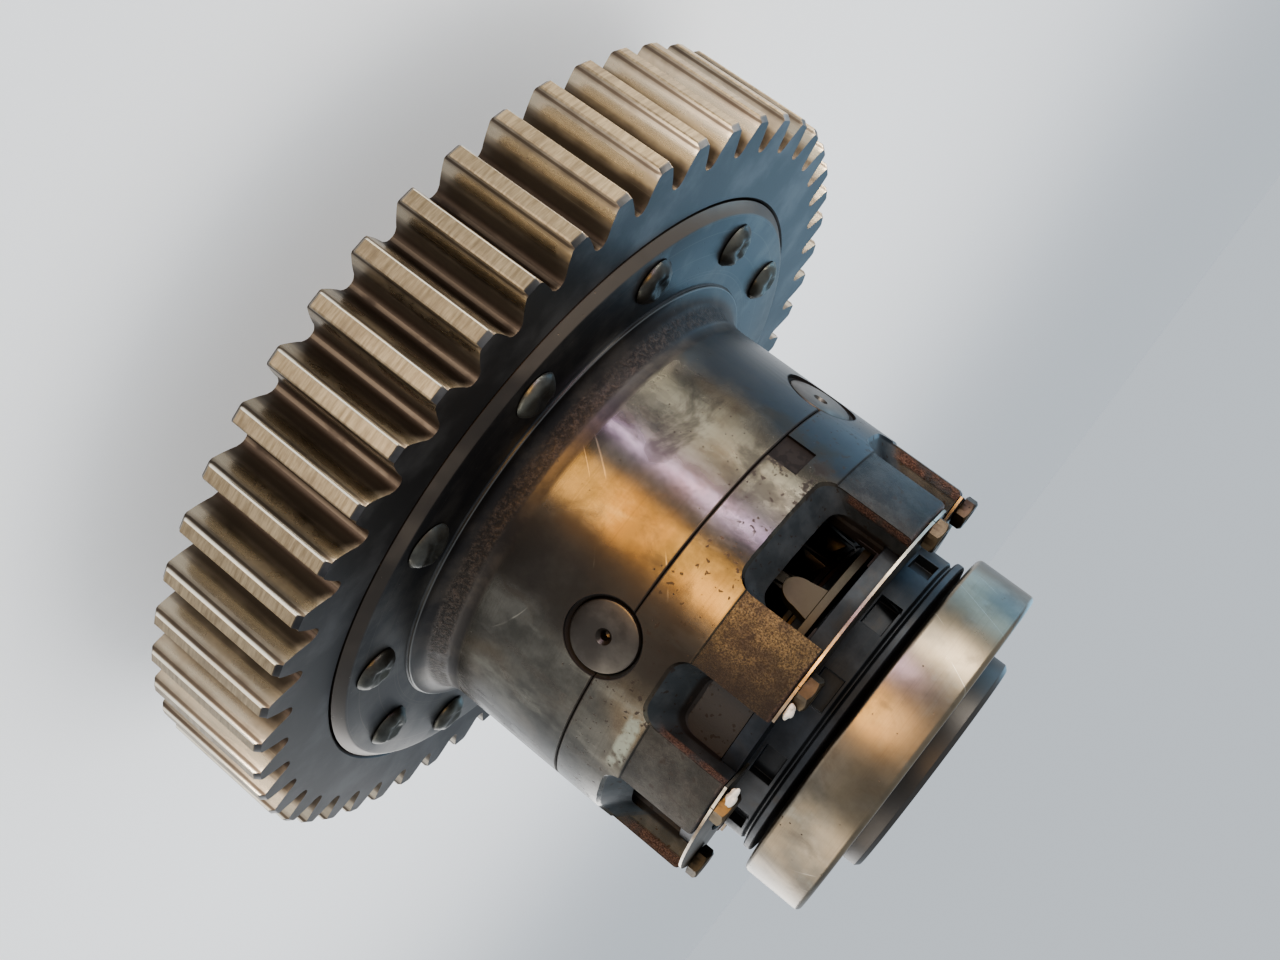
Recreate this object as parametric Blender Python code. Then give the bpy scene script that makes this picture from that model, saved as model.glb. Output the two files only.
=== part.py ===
"""Vehicle differential with a 50-tooth ring gear, standing on its gear-side stub with the axis along +Z."""

import math

import bmesh
import bpy
from mathutils import Matrix, Vector

MM = 0.001
GAP = 0.3                   # fitting gap between neighbouring pieces

# Heights are measured from the gear's front face, then lifted so that the lower stub stands on z = 0.
STAND = 88.0                # gear front face above the ground
LOWER_STUB_Z = -88.0
UPPER_STUB_Z = 168.5

# Ring gear
TEETH = 50
TOOTH_TURN = 0.5            # degrees, first tooth against the first cross pin
TIP_R = 162.0
PITCH_R = 155.6
ROOT_R = 148.2
TIP_HALF = 0.95             # half tooth thickness in degrees at tip, pitch and root
PITCH_HALF = 1.76
ROOT_HALF = 2.75
FACE_WIDTH = 50.0
END_CHAMFER = 2.6
RECESS_R = 129.3
GEAR_BORE_R = 97.0
WEB_TOP_Z = -14.0
WEB_BOTTOM_Z = -36.0
RIM_INNER_R = 132.0

# Flange, rivets and case body
FLANGE_BASE_R = 129.0
FLANGE_TOP_R = 125.4
FLANGE_TOP_Z = 3.3
RAISED_RING_R = 95.7
RAISED_RING_Z = 4.65
FILLET_END_Z = 18.0
RIVETS = 12
RIVET_CIRCLE_R = 112.6
RIVET_SHANK_R = 5.2
RIVET_HEAD_R = 8.8
CASE_R = 86.0
SPLIT_Z = 65.0              # parting plane of the two case halves
CROSS_Z = 60.75             # plane of the cross pins
BAR_Z = 89.1                # from here up the bars are as cast
BAR_R = 85.4
BAR_INNER_R = 69.5
POCKET_FLOOR_X = 73.5        # the narrow windows are blind pockets with a flat floor
LEDGE_R = 75.8
LEDGE_Z = 112.7
CASE_END_Z = 119.3
CASE_END_R = 84.1
CAVITY_R = 66.6             # spherical seat of the planet washers
WASHER_R = 65.7             # outer side of those washers
CAVITY_TOP_Z = 86.0

# Windows between the bars
WINDOW_Z = 83.8
WINDOW_RAMP = 1.0           # rise of the window's end wall per unit of depth
WINDOW_CORNER = 7.0
WINDOW_TURN = 1.0
CUTTER_TOP_Z = 140.0        # the window cutters run past the open end
CUTTER_OUTER_X = 98.0
CUTTER_INNER_X = 68.0
RELIEF_R = 77.0              # the hollow behind the wide windows reaches out to here
RELIEF_LOW_Z = 86.5
RELIEF_HIGH_Z = 111.7
NOTCH_TURN = -60.0
NOTCH_SIZE = (8.0, 13.0, 15.0)
NOTCH_RISE = 4.5             # middle of the notch above the parting plane
NOTCH_OUT = 2.8              # middle of the notch outside the case's surface
WIDE_HALF = 16.9
NARROW_HALF = 9.0

# Cross pins and bevel gears
PIN_R = 12.4
PIN_HOLE_R = 12.9
PIN_INNER_X = 12.9
PIN_OUTER_X = 85.0
BLOCK_R = 20.0
BLOCK_HALF = 16.0
CONE_OUTER = 56.0
CONE_INNER = 38.0
PLANET_TEETH = 10
SIDE_TEETH = 16
PLANET_ANGLE = math.atan2(PLANET_TEETH, SIDE_TEETH)
SIDE_ANGLE = math.pi / 2 - PLANET_ANGLE
ADDENDUM = 4.6
DEDENDUM = 6.5
TOOTH_THINNING = 0.72
PRESSURE_ANGLE = math.radians(20)
PLANET_BORE_R = 12.9
PLANET_BACK_R = 63.9
SLEEVE_R = 38.0
SLEEVE_SEAT_R = 38.7
SIDE_BACK_X = 40.0
SIDE_SEAT_X = 42.0
SPLINE_BORE_R = 22.0

# Lock plate, end hub, keeper plates and case bolts
LOCK_BOTTOM_Z = 107.3
LOCK_TOP_Z = 110.3
LOCK_OUTER_R = 68.0
LOCK_INNER_R = 54.0
FINGER_END_Z = 91.5
FINGER_WIDTH = 12.0
FINGER_INNER_R = 60.5
FINGER_TURN = -38.0
BOSS_R = 50.0
DISC_R = 75.5
DISC_Z = 113.0
NECK_R = 62.0
COLLAR_R = 63.8
NECK_SLOTS = 12
NECK_SLOT_DEPTH = 4.0
KEEPER_INNER_R = 66.5
KEEPER_Z = 119.6
KEEPER_THICK = 1.0
KEEPER_START = 10.6           # each plate bridges the wide window of its quarter
KEEPER_END = 81.4
BOLT_CIRCLE_R = 79.8
BOLT_ANGLES = (18.0, 72.0)  # bar centres within each quarter turn
BOLT_SHANK_R = 3.8
BOLT_FLATS = 11.5
BOLT_HEAD_H = 4.7

# Bearings, 90 x 140 x 24
BEARING_R = 70.0
BEARING_BORE_R = 45.0
BEARING_WIDTH = 24.0
JOURNAL_R = 44.7
AXLE_BORE_R = 30.0
INNER_SHOULDER_R = 53.0
OUTER_SHOULDER_R = 62.4
BALL_CIRCLE_R = 57.6
BALL_R = 6.4
BALLS = 12
UPPER_BEARING_Z = 137.4
LOWER_BEARING_Z = -81.0

SEG = 32
SEG_MID = 24
SEG_PIN = 16
SEG_SMALL = 8


def clear_scene():
    for obj in list(bpy.data.objects):
        bpy.data.objects.remove(obj, do_unlink=True)


def metal(name, color, roughness, metallic=1.0):
    mat = bpy.data.materials.new(name)
    mat.use_nodes = True
    shader = mat.node_tree.nodes["Principled BSDF"]
    shader.inputs["Base Color"].default_value = (*color, 1.0)
    shader.inputs["Roughness"].default_value = roughness
    shader.inputs["Metallic"].default_value = metallic
    return mat


def circle(radius, z, count):
    """A ring of points; the main axes X and Y pass through the middles of its sides."""
    step = 2 * math.pi / count
    angles = [(k + 0.5) * step for k in range(count)]
    return [(radius * math.cos(a), radius * math.sin(a), z) for a in angles]


def zip_rings(bm, ring_a, ring_b):
    """Triangles between two rings of unequal count, both running anticlockwise."""

    def angles(ring):
        found = [math.atan2(v.co.y, v.co.x) % (2 * math.pi) for v in ring]
        first = min(range(len(ring)), key=lambda k: found[k])
        order = [(first + k) % len(ring) for k in range(len(ring))]
        return [ring[k] for k in order], [found[k] for k in order]

    ring_a, angle_a = angles(ring_a)
    ring_b, angle_b = angles(ring_b)
    a = b = 0
    while a < len(ring_a) or b < len(ring_b):
        next_a = angle_a[a + 1] if a + 1 < len(ring_a) else angle_a[0] + 2 * math.pi
        next_b = angle_b[b + 1] if b + 1 < len(ring_b) else angle_b[0] + 2 * math.pi
        take_a = b >= len(ring_b) or (a < len(ring_a) and next_a <= next_b)
        va = ring_a[a % len(ring_a)]
        vb = ring_b[b % len(ring_b)]
        if take_a:
            a += 1
            bm.faces.new((va, ring_a[a % len(ring_a)], vb))
        else:
            b += 1
            bm.faces.new((va, ring_b[b % len(ring_b)], vb))


def join_rings(bm, ring_a, ring_b):
    if len(ring_a) != len(ring_b):
        zip_rings(bm, ring_a, ring_b)
        return
    count = len(ring_a)
    for k in range(count):
        after = (k + 1) % count
        bm.faces.new((ring_a[k], ring_a[after], ring_b[after], ring_b[k]))


def finish(name, bm, mat, place=None, origin=(0.0, 0.0, 0.0), angle=35):
    """Turns the bmesh, in millimetres, into an object whose origin is at the given point."""
    bmesh.ops.recalc_face_normals(bm, faces=bm.faces)
    if place is not None:
        bmesh.ops.transform(bm, matrix=place, verts=bm.verts)
    shift = Vector(origin)
    for vert in bm.verts:
        vert.co = (vert.co - shift) * MM
    mesh = bpy.data.meshes.new(name)
    bm.to_mesh(mesh)
    bm.free()
    obj = bpy.data.objects.new(name, mesh)
    obj.location = (shift + Vector((0.0, 0.0, STAND))) * MM
    bpy.context.scene.collection.objects.link(obj)
    if mat is not None:
        mesh.materials.append(mat)
    mesh.shade_smooth()
    mesh.set_sharp_from_angle(angle=math.radians(angle))
    return obj


def rings_mesh(rings, closed=True):
    """A shell through the rings; an open chain gets a flat cap at each end."""
    bm = bmesh.new()
    made = [[bm.verts.new(p) for p in ring] for ring in rings]
    for ring_a, ring_b in zip(made, made[1:]):
        join_rings(bm, ring_a, ring_b)
    if closed:
        join_rings(bm, made[-1], made[0])
    else:
        bm.faces.new(made[0])
        bm.faces.new(made[-1])
    return bm


def sector_mesh(profile, start, end, steps=10):
    """The profile swept about the main axis from one angle to another, with flat ends."""
    rings = []
    for k in range(steps + 1):
        a = math.radians(start + (end - start) * k / steps)
        rings.append([(r * math.cos(a), r * math.sin(a), z) for r, z in profile])
    return rings_mesh(rings, closed=False)


def turned(name, profile, mat, count=SEG, closed=True, place=None, origin=(0, 0, 0)):
    bm = rings_mesh([circle(r, z, count) for r, z in profile], closed)
    return finish(name, bm, mat, place, origin)


def cut(obj, cutters):
    for cutter in cutters:
        cutter.hide_render = True
        cutter.display_type = "WIRE"
        modifier = obj.modifiers.new("cut", "BOOLEAN")
        modifier.operation = "DIFFERENCE"
        modifier.solver = "EXACT"
        modifier.object = cutter
    graph = bpy.context.evaluated_depsgraph_get()
    mesh = bpy.data.meshes.new_from_object(obj.evaluated_get(graph))
    mesh.name = obj.name
    obj.modifiers.clear()
    obj.data = mesh
    for cutter in cutters:
        bpy.data.objects.remove(cutter, do_unlink=True)


def shells(name, meshes):
    """One helper object made of several separate shells."""
    joined = bmesh.new()
    for bm in meshes:
        bmesh.ops.recalc_face_normals(bm, faces=bm.faces)
        scratch = bpy.data.meshes.new("scratch")
        bm.to_mesh(scratch)
        bm.free()
        joined.from_mesh(scratch)
        bpy.data.meshes.remove(scratch)
    return finish(name, joined, None)


def rod_mesh(radius, low, high, count, place=None):
    bm = rings_mesh([circle(radius, low, count), circle(radius, high, count)], closed=False)
    if place is not None:
        bmesh.ops.transform(bm, matrix=place, verts=bm.verts)
    return bm


def box_mesh(size, place):
    bm = bmesh.new()
    bmesh.ops.create_cube(bm, size=1.0, matrix=place @ Matrix.Diagonal((*size, 1.0)))
    return bm


def about_z(degrees):
    return Matrix.Rotation(math.radians(degrees), 4, "Z")


def outward(degrees, z=CROSS_Z):
    """Local +Z points away from the main axis at this angle, local +X points up."""
    a = math.radians(degrees)
    away = Vector((math.cos(a), math.sin(a), 0.0))
    up = Vector((0.0, 0.0, 1.0))
    across = away.cross(up)
    turn = Matrix((up, across, away)).transposed().to_4x4()
    return Matrix.Translation((0.0, 0.0, z)) @ turn


def gear_outline(clip_r, z):
    """The ring gear's outline, with no point further out than clip_r."""
    points = []
    pitch = 360.0 / TEETH
    for tooth in range(TEETH):
        middle = TOOTH_TURN + tooth * pitch
        for side in (-1, 1):
            flank = [(ROOT_R, ROOT_HALF), (PITCH_R, PITCH_HALF), (TIP_R, TIP_HALF)]
            if side > 0:
                flank.reverse()
            for radius, half in flank:
                a = math.radians(middle + side * half)
                r = min(radius, clip_r)
                points.append((r * math.cos(a), r * math.sin(a), z))
    return points


def build_ring_gear():
    mat = metal("gear_steel", (0.33, 0.26, 0.19), 0.38)
    face_r = TIP_R - END_CHAMFER
    rings = [
        gear_outline(face_r, 0.0),
        gear_outline(TIP_R, -END_CHAMFER),
        gear_outline(TIP_R, -FACE_WIDTH + END_CHAMFER),
        gear_outline(face_r, -FACE_WIDTH),
        circle(RIM_INNER_R, -FACE_WIDTH, SEG),
        circle(RIM_INNER_R - 3.0, WEB_BOTTOM_Z, SEG),
        circle(GEAR_BORE_R, WEB_BOTTOM_Z, SEG),
        circle(GEAR_BORE_R, WEB_TOP_Z, SEG),
        circle(RECESS_R, WEB_TOP_Z, SEG),
        circle(RECESS_R, 0.0, SEG),
    ]
    gear = finish("ring_gear", rings_mesh(rings), mat)
    cut(gear, [rivet_holes()])


def rivet_holes():
    holes = []
    for k in range(RIVETS):
        place = about_z(k * 360 / RIVETS) @ Matrix.Translation((RIVET_CIRCLE_R, 0, 0))
        holes.append(rod_mesh(RIVET_SHANK_R + 0.6, -60, 20, SEG_SMALL, place))
    return shells("rivet_holes", holes)


def build_rivets():
    mat = metal("rivet_steel", (0.22, 0.22, 0.20), 0.42)
    top = FLANGE_TOP_Z + GAP
    bottom = WEB_BOTTOM_Z - GAP
    profile = [
        (4.6, top + 3.6),
        (RIVET_HEAD_R - 0.8, top + 1.7),
        (RIVET_HEAD_R, top),
        (RIVET_SHANK_R, top),
        (RIVET_SHANK_R, bottom),
        (RIVET_HEAD_R - 1.0, bottom),
        (5.0, bottom - 2.8),
    ]
    for k in range(RIVETS):
        place = about_z(k * 360 / RIVETS) @ Matrix.Translation((RIVET_CIRCLE_R, 0, 0))
        origin = place.translation
        turned(f"flange_rivet_{k + 1:02d}", profile, mat, SEG_SMALL, False, place, origin)


def pin_holes():
    holes = [rod_mesh(PIN_HOLE_R, 40, 110, SEG_PIN, outward(90 * k)) for k in range(4)]
    return shells("pin_holes", holes)


def bolt_places():
    for quarter in range(4):
        for angle in BOLT_ANGLES:
            yield about_z(quarter * 90 + angle) @ Matrix.Translation((BOLT_CIRCLE_R, 0, 0))


def bolt_holes(low, high):
    holes = [rod_mesh(BOLT_SHANK_R + 0.4, low, high, SEG_SMALL, p) for p in bolt_places()]
    return shells("bolt_holes", holes)


def cavity_arc(low_z, high_z, count):
    """Points on the spherical seat from one height to another."""
    points = []
    for k in range(count + 1):
        z = low_z + (high_z - low_z) * k / count
        points.append((math.sqrt(CAVITY_R**2 - (z - CROSS_Z) ** 2), z))
    return points


def build_flange_half():
    mat = metal("case_steel", (0.30, 0.27, 0.23), 0.34)
    fillet_r = RAISED_RING_R - CASE_R
    fillet_h = FILLET_END_Z - RAISED_RING_Z
    fillet = []
    for step in (1, 2, 3):
        a = math.radians(step * 22.5)
        fillet.append((
            CASE_R + fillet_r * (1 - math.sin(a)),
            RAISED_RING_Z + fillet_h * (1 - math.cos(a)),
        ))
    seat_z = CROSS_Z - SIDE_SEAT_X
    profile = [
        (AXLE_BORE_R, LOWER_STUB_Z),
        (JOURNAL_R - 1.4, LOWER_STUB_Z),
        (JOURNAL_R, LOWER_STUB_Z + 1.4),
        (JOURNAL_R, LOWER_BEARING_Z + BEARING_WIDTH + GAP),
        (INNER_SHOULDER_R, LOWER_BEARING_Z + BEARING_WIDTH + GAP),
        (60.0, -50.0),
        (82.0, -40.0),
        (GEAR_BORE_R - GAP, -37.0),
        (GEAR_BORE_R - GAP, WEB_TOP_Z + GAP),
        (FLANGE_BASE_R, WEB_TOP_Z + GAP),
        (FLANGE_BASE_R, 0.0),
        (FLANGE_TOP_R, FLANGE_TOP_Z),
        (RAISED_RING_R, FLANGE_TOP_Z),
        (RAISED_RING_R, RAISED_RING_Z),
        *fillet,
        (CASE_R, FILLET_END_Z),
        (CASE_R, SPLIT_Z - GAP / 2),
        *reversed(cavity_arc(CROSS_Z - 37.5, SPLIT_Z - GAP / 2, 4)),
        (cavity_arc(CROSS_Z - 37.5, SPLIT_Z, 1)[0][0], seat_z),
        (SLEEVE_SEAT_R, seat_z),
        (SLEEVE_SEAT_R, CROSS_Z - 51.8),
        (AXLE_BORE_R, CROSS_Z - 51.8),
    ]
    half = turned("case_flange_half", profile, mat)
    cut(half, [rivet_holes(), pin_holes(), bolt_holes(45, 80)])


def window_mesh(middle, half, inner=CUTTER_INNER_X):
    """A cutter whose outline has rounded corners at its lower end and whose end wall slopes inward."""
    corner = math.degrees(WINDOW_CORNER / CASE_R)
    flat = half - corner
    outline = [(-half, CUTTER_TOP_Z)]
    for k in range(3):
        a = math.radians(90 * k / 2)
        outline.append((
            -half + corner * (1 - math.cos(a)),
            WINDOW_Z + WINDOW_CORNER * (1 - math.sin(a)),
        ))
    outline += [(-flat / 3, WINDOW_Z), (flat / 3, WINDOW_Z)]
    outline += [(-a, z) for a, z in reversed(outline[:4])]
    rings = []
    for depth in (CUTTER_OUTER_X, inner):
        ring = []
        for a, z in outline:
            turn = math.radians(a)
            rise = (CASE_R - depth / math.cos(turn)) * WINDOW_RAMP
            ring.append((depth, depth * math.tan(turn), z if z == CUTTER_TOP_Z else z + rise))
        rings.append(ring)
    bm = rings_mesh(rings, closed=False)
    bmesh.ops.transform(bm, matrix=about_z(middle), verts=bm.verts)
    return bm


def window_relief(middle):
    """The hollow behind a wide window, which leaves its end wall only a short slope."""
    inner = BAR_INNER_R - 4.0
    profile = [
        (inner, RELIEF_LOW_Z),
        (RELIEF_R, RELIEF_LOW_Z),
        (RELIEF_R, RELIEF_HIGH_Z),
        (inner, RELIEF_HIGH_Z),
    ]
    return sector_mesh(profile, middle - WIDE_HALF + 0.5, middle + WIDE_HALF - 0.5)


def build_cover_half():
    mat = metal("cover_steel", (0.27, 0.22, 0.17), 0.45)
    low = SPLIT_Z + GAP / 2
    seat = cavity_arc(low, CAVITY_TOP_Z, 3)
    profile = [
        (CASE_R, low),
        (CASE_R, BAR_Z),
        (BAR_R, BAR_Z),
        (BAR_R, CASE_END_Z - 1.3),
        (CASE_END_R, CASE_END_Z),
        (LEDGE_R, CASE_END_Z),
        (LEDGE_R, LEDGE_Z),
        (BAR_INNER_R, LEDGE_Z),
        (BAR_INNER_R, CAVITY_TOP_Z),
        *reversed(seat),
    ]
    half = turned("case_cover_half", profile, mat)
    windows = []
    for k in range(4):
        windows.append(window_mesh(90 * k + WINDOW_TURN, NARROW_HALF, POCKET_FLOOR_X))
        windows.append(window_mesh(90 * k + 45 + WINDOW_TURN, WIDE_HALF))
    reliefs = [window_relief(90 * k + 45 + WINDOW_TURN) for k in range(4)]
    notch = about_z(NOTCH_TURN) @ Matrix.Translation((CASE_R + NOTCH_OUT, 0, SPLIT_Z + NOTCH_RISE))
    cutters = [
        shells("windows", windows),
        shells("reliefs", reliefs),
        pin_holes(),
        bolt_holes(50, 130),
        shells("notch", [box_mesh(NOTCH_SIZE, notch)]),
    ]
    cut(half, cutters)


def build_cross():
    mat = metal("pin_steel", (0.20, 0.19, 0.17), 0.36)
    profile = [
        (PIN_R - 1.0, PIN_INNER_X),
        (PIN_R, PIN_INNER_X + 1.0),
        (PIN_R, PIN_OUTER_X - 0.8),
        (PIN_R - 0.8, PIN_OUTER_X),
        (1.9, PIN_OUTER_X),
        (1.9, PIN_OUTER_X - 5.0),
    ]
    for k in range(4):
        place = outward(90 * k)
        origin = place @ Vector((0, 0, 50))
        turned(f"cross_pin_{k + 1}", profile, mat, SEG_PIN, False, place, origin)
    profile = [
        (BLOCK_R - 1.5, CROSS_Z - BLOCK_HALF),
        (BLOCK_R, CROSS_Z - BLOCK_HALF + 1.5),
        (BLOCK_R, CROSS_Z + BLOCK_HALF - 1.5),
        (BLOCK_R - 1.5, CROSS_Z + BLOCK_HALF),
    ]
    block = turned("cross_block", profile, mat, SEG_PIN, False)
    holes = [rod_mesh(PIN_R + 0.3, -30, 30, SEG_PIN, outward(90 * k)) for k in range(2)]
    cut(block, [shells(f"bore_{k}", [hole]) for k, hole in enumerate(holes)])


def bevel_outline(teeth, cone_angle, scale, gap_first):
    """Tooth outline on the cone perpendicular to the pitch cone, at a share of the outer cone distance."""
    pitch_r = CONE_OUTER * math.sin(cone_angle)
    developed = CONE_OUTER * math.tan(cone_angle)
    module = 2 * pitch_r / teeth
    base = developed * math.cos(PRESSURE_ANGLE)

    def involute(a):
        return math.tan(a) - a

    half_pitch = module * math.pi / 4 / developed
    half_root = half_pitch + involute(PRESSURE_ANGLE)
    tip_pressure = math.acos(base / (developed + ADDENDUM))
    half_tip = half_root - involute(tip_pressure)
    thin = TOOTH_THINNING / developed
    flank = [(-DEDENDUM, half_root - thin), (0.0, half_pitch - thin), (ADDENDUM, half_tip - thin)]
    points = []
    step = 2 * math.pi / teeth
    for tooth in range(teeth):
        middle = (tooth + (0.5 if gap_first else 0.0)) * step
        for side in (-1, 1):
            for offset, half in flank if side < 0 else reversed(flank):
                a = middle + side * half / math.cos(cone_angle)
                r = scale * (pitch_r + offset * math.cos(cone_angle))
                x = scale * (CONE_OUTER * math.cos(cone_angle) - offset * math.sin(cone_angle))
                points.append((r * math.cos(a), r * math.sin(a), x))
    return points


def back_x(radius, sphere=PLANET_BACK_R):
    return math.sqrt(sphere**2 - radius**2)


def build_planets():
    gear_mat = metal("planet_steel", (0.34, 0.31, 0.26), 0.36)
    washer_mat = metal("washer_bronze", (0.42, 0.30, 0.16), 0.38)
    toe = CONE_INNER / CONE_OUTER
    for k in range(4):
        rings = [
            bevel_outline(PLANET_TEETH, PLANET_ANGLE, toe, True),
            bevel_outline(PLANET_TEETH, PLANET_ANGLE, 1.0, True),
            circle(24.5, back_x(24.5), SEG_PIN),
            circle(PLANET_BORE_R, back_x(PLANET_BORE_R), SEG_PIN),
            circle(PLANET_BORE_R, 35.0, SEG_PIN),
        ]
        place = outward(90 * k)
        origin = place @ Vector((0, 0, 48))
        finish(f"planet_pinion_{k + 1}", rings_mesh(rings), gear_mat, place, origin)
        inner, outer = PIN_R + 0.8, 24.0
        low, high = PLANET_BACK_R + GAP, WASHER_R
        profile = [
            (inner, back_x(inner, low)),
            (inner, back_x(inner, high)),
            (outer, back_x(outer, high)),
            (outer, back_x(outer, low)),
        ]
        turned(f"planet_washer_{k + 1}", profile, washer_mat, SEG_PIN, True, place, origin)


def build_side_gears():
    gear_mat = metal("side_gear_steel", (0.32, 0.30, 0.26), 0.36)
    washer_mat = metal("side_washer_bronze", (0.42, 0.30, 0.16), 0.38)
    toe = CONE_INNER / CONE_OUTER
    places = {
        "upper": Matrix.Translation((0, 0, CROSS_Z)),
        "lower": Matrix.Translation((0, 0, CROSS_Z)) @ Matrix.Rotation(math.pi, 4, "X"),
    }
    for name, place in places.items():
        rings = [
            bevel_outline(SIDE_TEETH, SIDE_ANGLE, toe, False),
            bevel_outline(SIDE_TEETH, SIDE_ANGLE, 1.0, False),
            circle(48.0, 38.0, SEG_MID),
            circle(48.0, SIDE_BACK_X, SEG_MID),
            circle(SLEEVE_R, SIDE_BACK_X, SEG_MID),
            circle(SLEEVE_R, 50.5, SEG_MID),
            circle(SPLINE_BORE_R, 50.5, SEG_MID),
            circle(SPLINE_BORE_R, 20.5, SEG_MID),
            circle(27.0, 20.5, SEG_MID),
        ]
        origin = (0, 0, CROSS_Z)
        finish(f"side_gear_{name}", rings_mesh(rings), gear_mat, place, origin)
        profile = [
            (SLEEVE_R + 0.7, SIDE_BACK_X + GAP),
            (47.5, SIDE_BACK_X + GAP),
            (47.5, SIDE_SEAT_X - GAP),
            (SLEEVE_R + 0.7, SIDE_SEAT_X - GAP),
        ]
        turned(f"side_washer_{name}", profile, washer_mat, SEG_MID, True, place, origin)


def finger_mesh(middle):
    """A rounded finger that overlaps the lock plate at its upper end."""
    outline = []
    half = FINGER_WIDTH / 2
    for k in range(7):
        a = math.radians(180 + 30 * k)
        outline.append((half * math.cos(a), FINGER_END_Z + half + half * math.sin(a)))
    outline += [(half, LOCK_BOTTOM_Z + 1.5), (-half, LOCK_BOTTOM_Z + 1.5)]
    bm = bmesh.new()
    rings = []
    for radius in (FINGER_INNER_R, LOCK_OUTER_R - 1.0):
        rings.append([bm.verts.new((radius, y, z)) for y, z in outline])
    join_rings(bm, *rings)
    bm.faces.new(rings[0])
    bm.faces.new(rings[1])
    bmesh.ops.transform(bm, matrix=about_z(middle), verts=bm.verts)
    return bm


def build_lock_plate():
    mat = metal("lock_plate_steel", (0.45, 0.38, 0.28), 0.32)
    profile = [
        (LOCK_INNER_R, LOCK_BOTTOM_Z),
        (LOCK_OUTER_R, LOCK_BOTTOM_Z),
        (LOCK_OUTER_R, LOCK_TOP_Z),
        (LOCK_INNER_R, LOCK_TOP_Z),
    ]
    plate = turned("lock_plate", profile, mat, SEG)
    fingers = shells("fingers", [finger_mesh(FINGER_TURN + 90 * k) for k in range(4)])
    fingers.hide_render = True
    fingers.display_type = "WIRE"
    modifier = plate.modifiers.new("fingers", "BOOLEAN")
    modifier.operation = "UNION"
    modifier.solver = "EXACT"
    modifier.object = fingers
    cut(plate, [])
    bpy.data.objects.remove(fingers, do_unlink=True)


def build_end_hub():
    mat = metal("hub_steel", (0.13, 0.13, 0.13), 0.42)
    bearing = UPPER_BEARING_Z - GAP
    profile = [
        (SLEEVE_SEAT_R, CROSS_Z + SIDE_SEAT_X),
        (BOSS_R, CROSS_Z + SIDE_SEAT_X),
        (BOSS_R, DISC_Z),
        (DISC_R, DISC_Z),
        (DISC_R, CASE_END_Z),
        (NECK_R, CASE_END_Z),
        (NECK_R, 130.5),
        (60.6, 131.5),
        (COLLAR_R, 132.6),
        (COLLAR_R, 135.4),
        (INNER_SHOULDER_R, bearing),
        (JOURNAL_R, bearing),
        (JOURNAL_R, UPPER_STUB_Z - 1.5),
        (JOURNAL_R - 1.5, UPPER_STUB_Z),
        (AXLE_BORE_R, UPPER_STUB_Z),
        (AXLE_BORE_R, 112.5),
        (SLEEVE_SEAT_R, 112.5),
    ]
    hub = turned("end_hub", profile, mat)
    slots = []
    width = 2 * NECK_R * math.sin(math.radians(6))
    for k in range(NECK_SLOTS):
        reach = Matrix.Translation((NECK_R - NECK_SLOT_DEPTH + 6, 0, 125.0))
        slots.append(box_mesh((12.0, width, 8.0), about_z(k * 30 - 20) @ reach))
    cut(hub, [shells("slots", slots)])


def build_keeper_and_bolts():
    keeper_mat = metal("keeper_steel", (0.62, 0.58, 0.52), 0.28)
    bolt_mat = metal("bolt_steel", (0.24, 0.18, 0.13), 0.45)
    profile = [
        (KEEPER_INNER_R, KEEPER_Z),
        (CASE_END_R, KEEPER_Z),
        (CASE_END_R, KEEPER_Z + KEEPER_THICK),
        (KEEPER_INNER_R, KEEPER_Z + KEEPER_THICK),
    ]
    for k in range(4):
        bm = sector_mesh(profile, 90 * k + KEEPER_START, 90 * k + KEEPER_END)
        keeper = finish(f"keeper_plate_{k + 1}", bm, keeper_mat)
        cut(keeper, [bolt_holes(110, 130)])
    seat = KEEPER_Z + KEEPER_THICK + GAP
    top = seat + BOLT_HEAD_H
    for number, place in enumerate(bolt_places(), 1):
        rings = [
            circle(BOLT_FLATS / 2 - 0.3, top, SEG_SMALL),
            hexagon(BOLT_FLATS, top - 0.8),
            hexagon(BOLT_FLATS, seat),
            circle(BOLT_SHANK_R, seat, SEG_SMALL),
            circle(BOLT_SHANK_R, 46.5, SEG_SMALL),
        ]
        bm = rings_mesh(rings, closed=False)
        finish(f"case_bolt_{number}", bm, bolt_mat, place, place.translation)


def hexagon(flats, z):
    return circle(flats / math.sqrt(3), z, 6)


def ball_mesh(place):
    bm = bmesh.new()
    bmesh.ops.create_uvsphere(bm, u_segments=6, v_segments=3, radius=BALL_R, matrix=place)
    return bm


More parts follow.
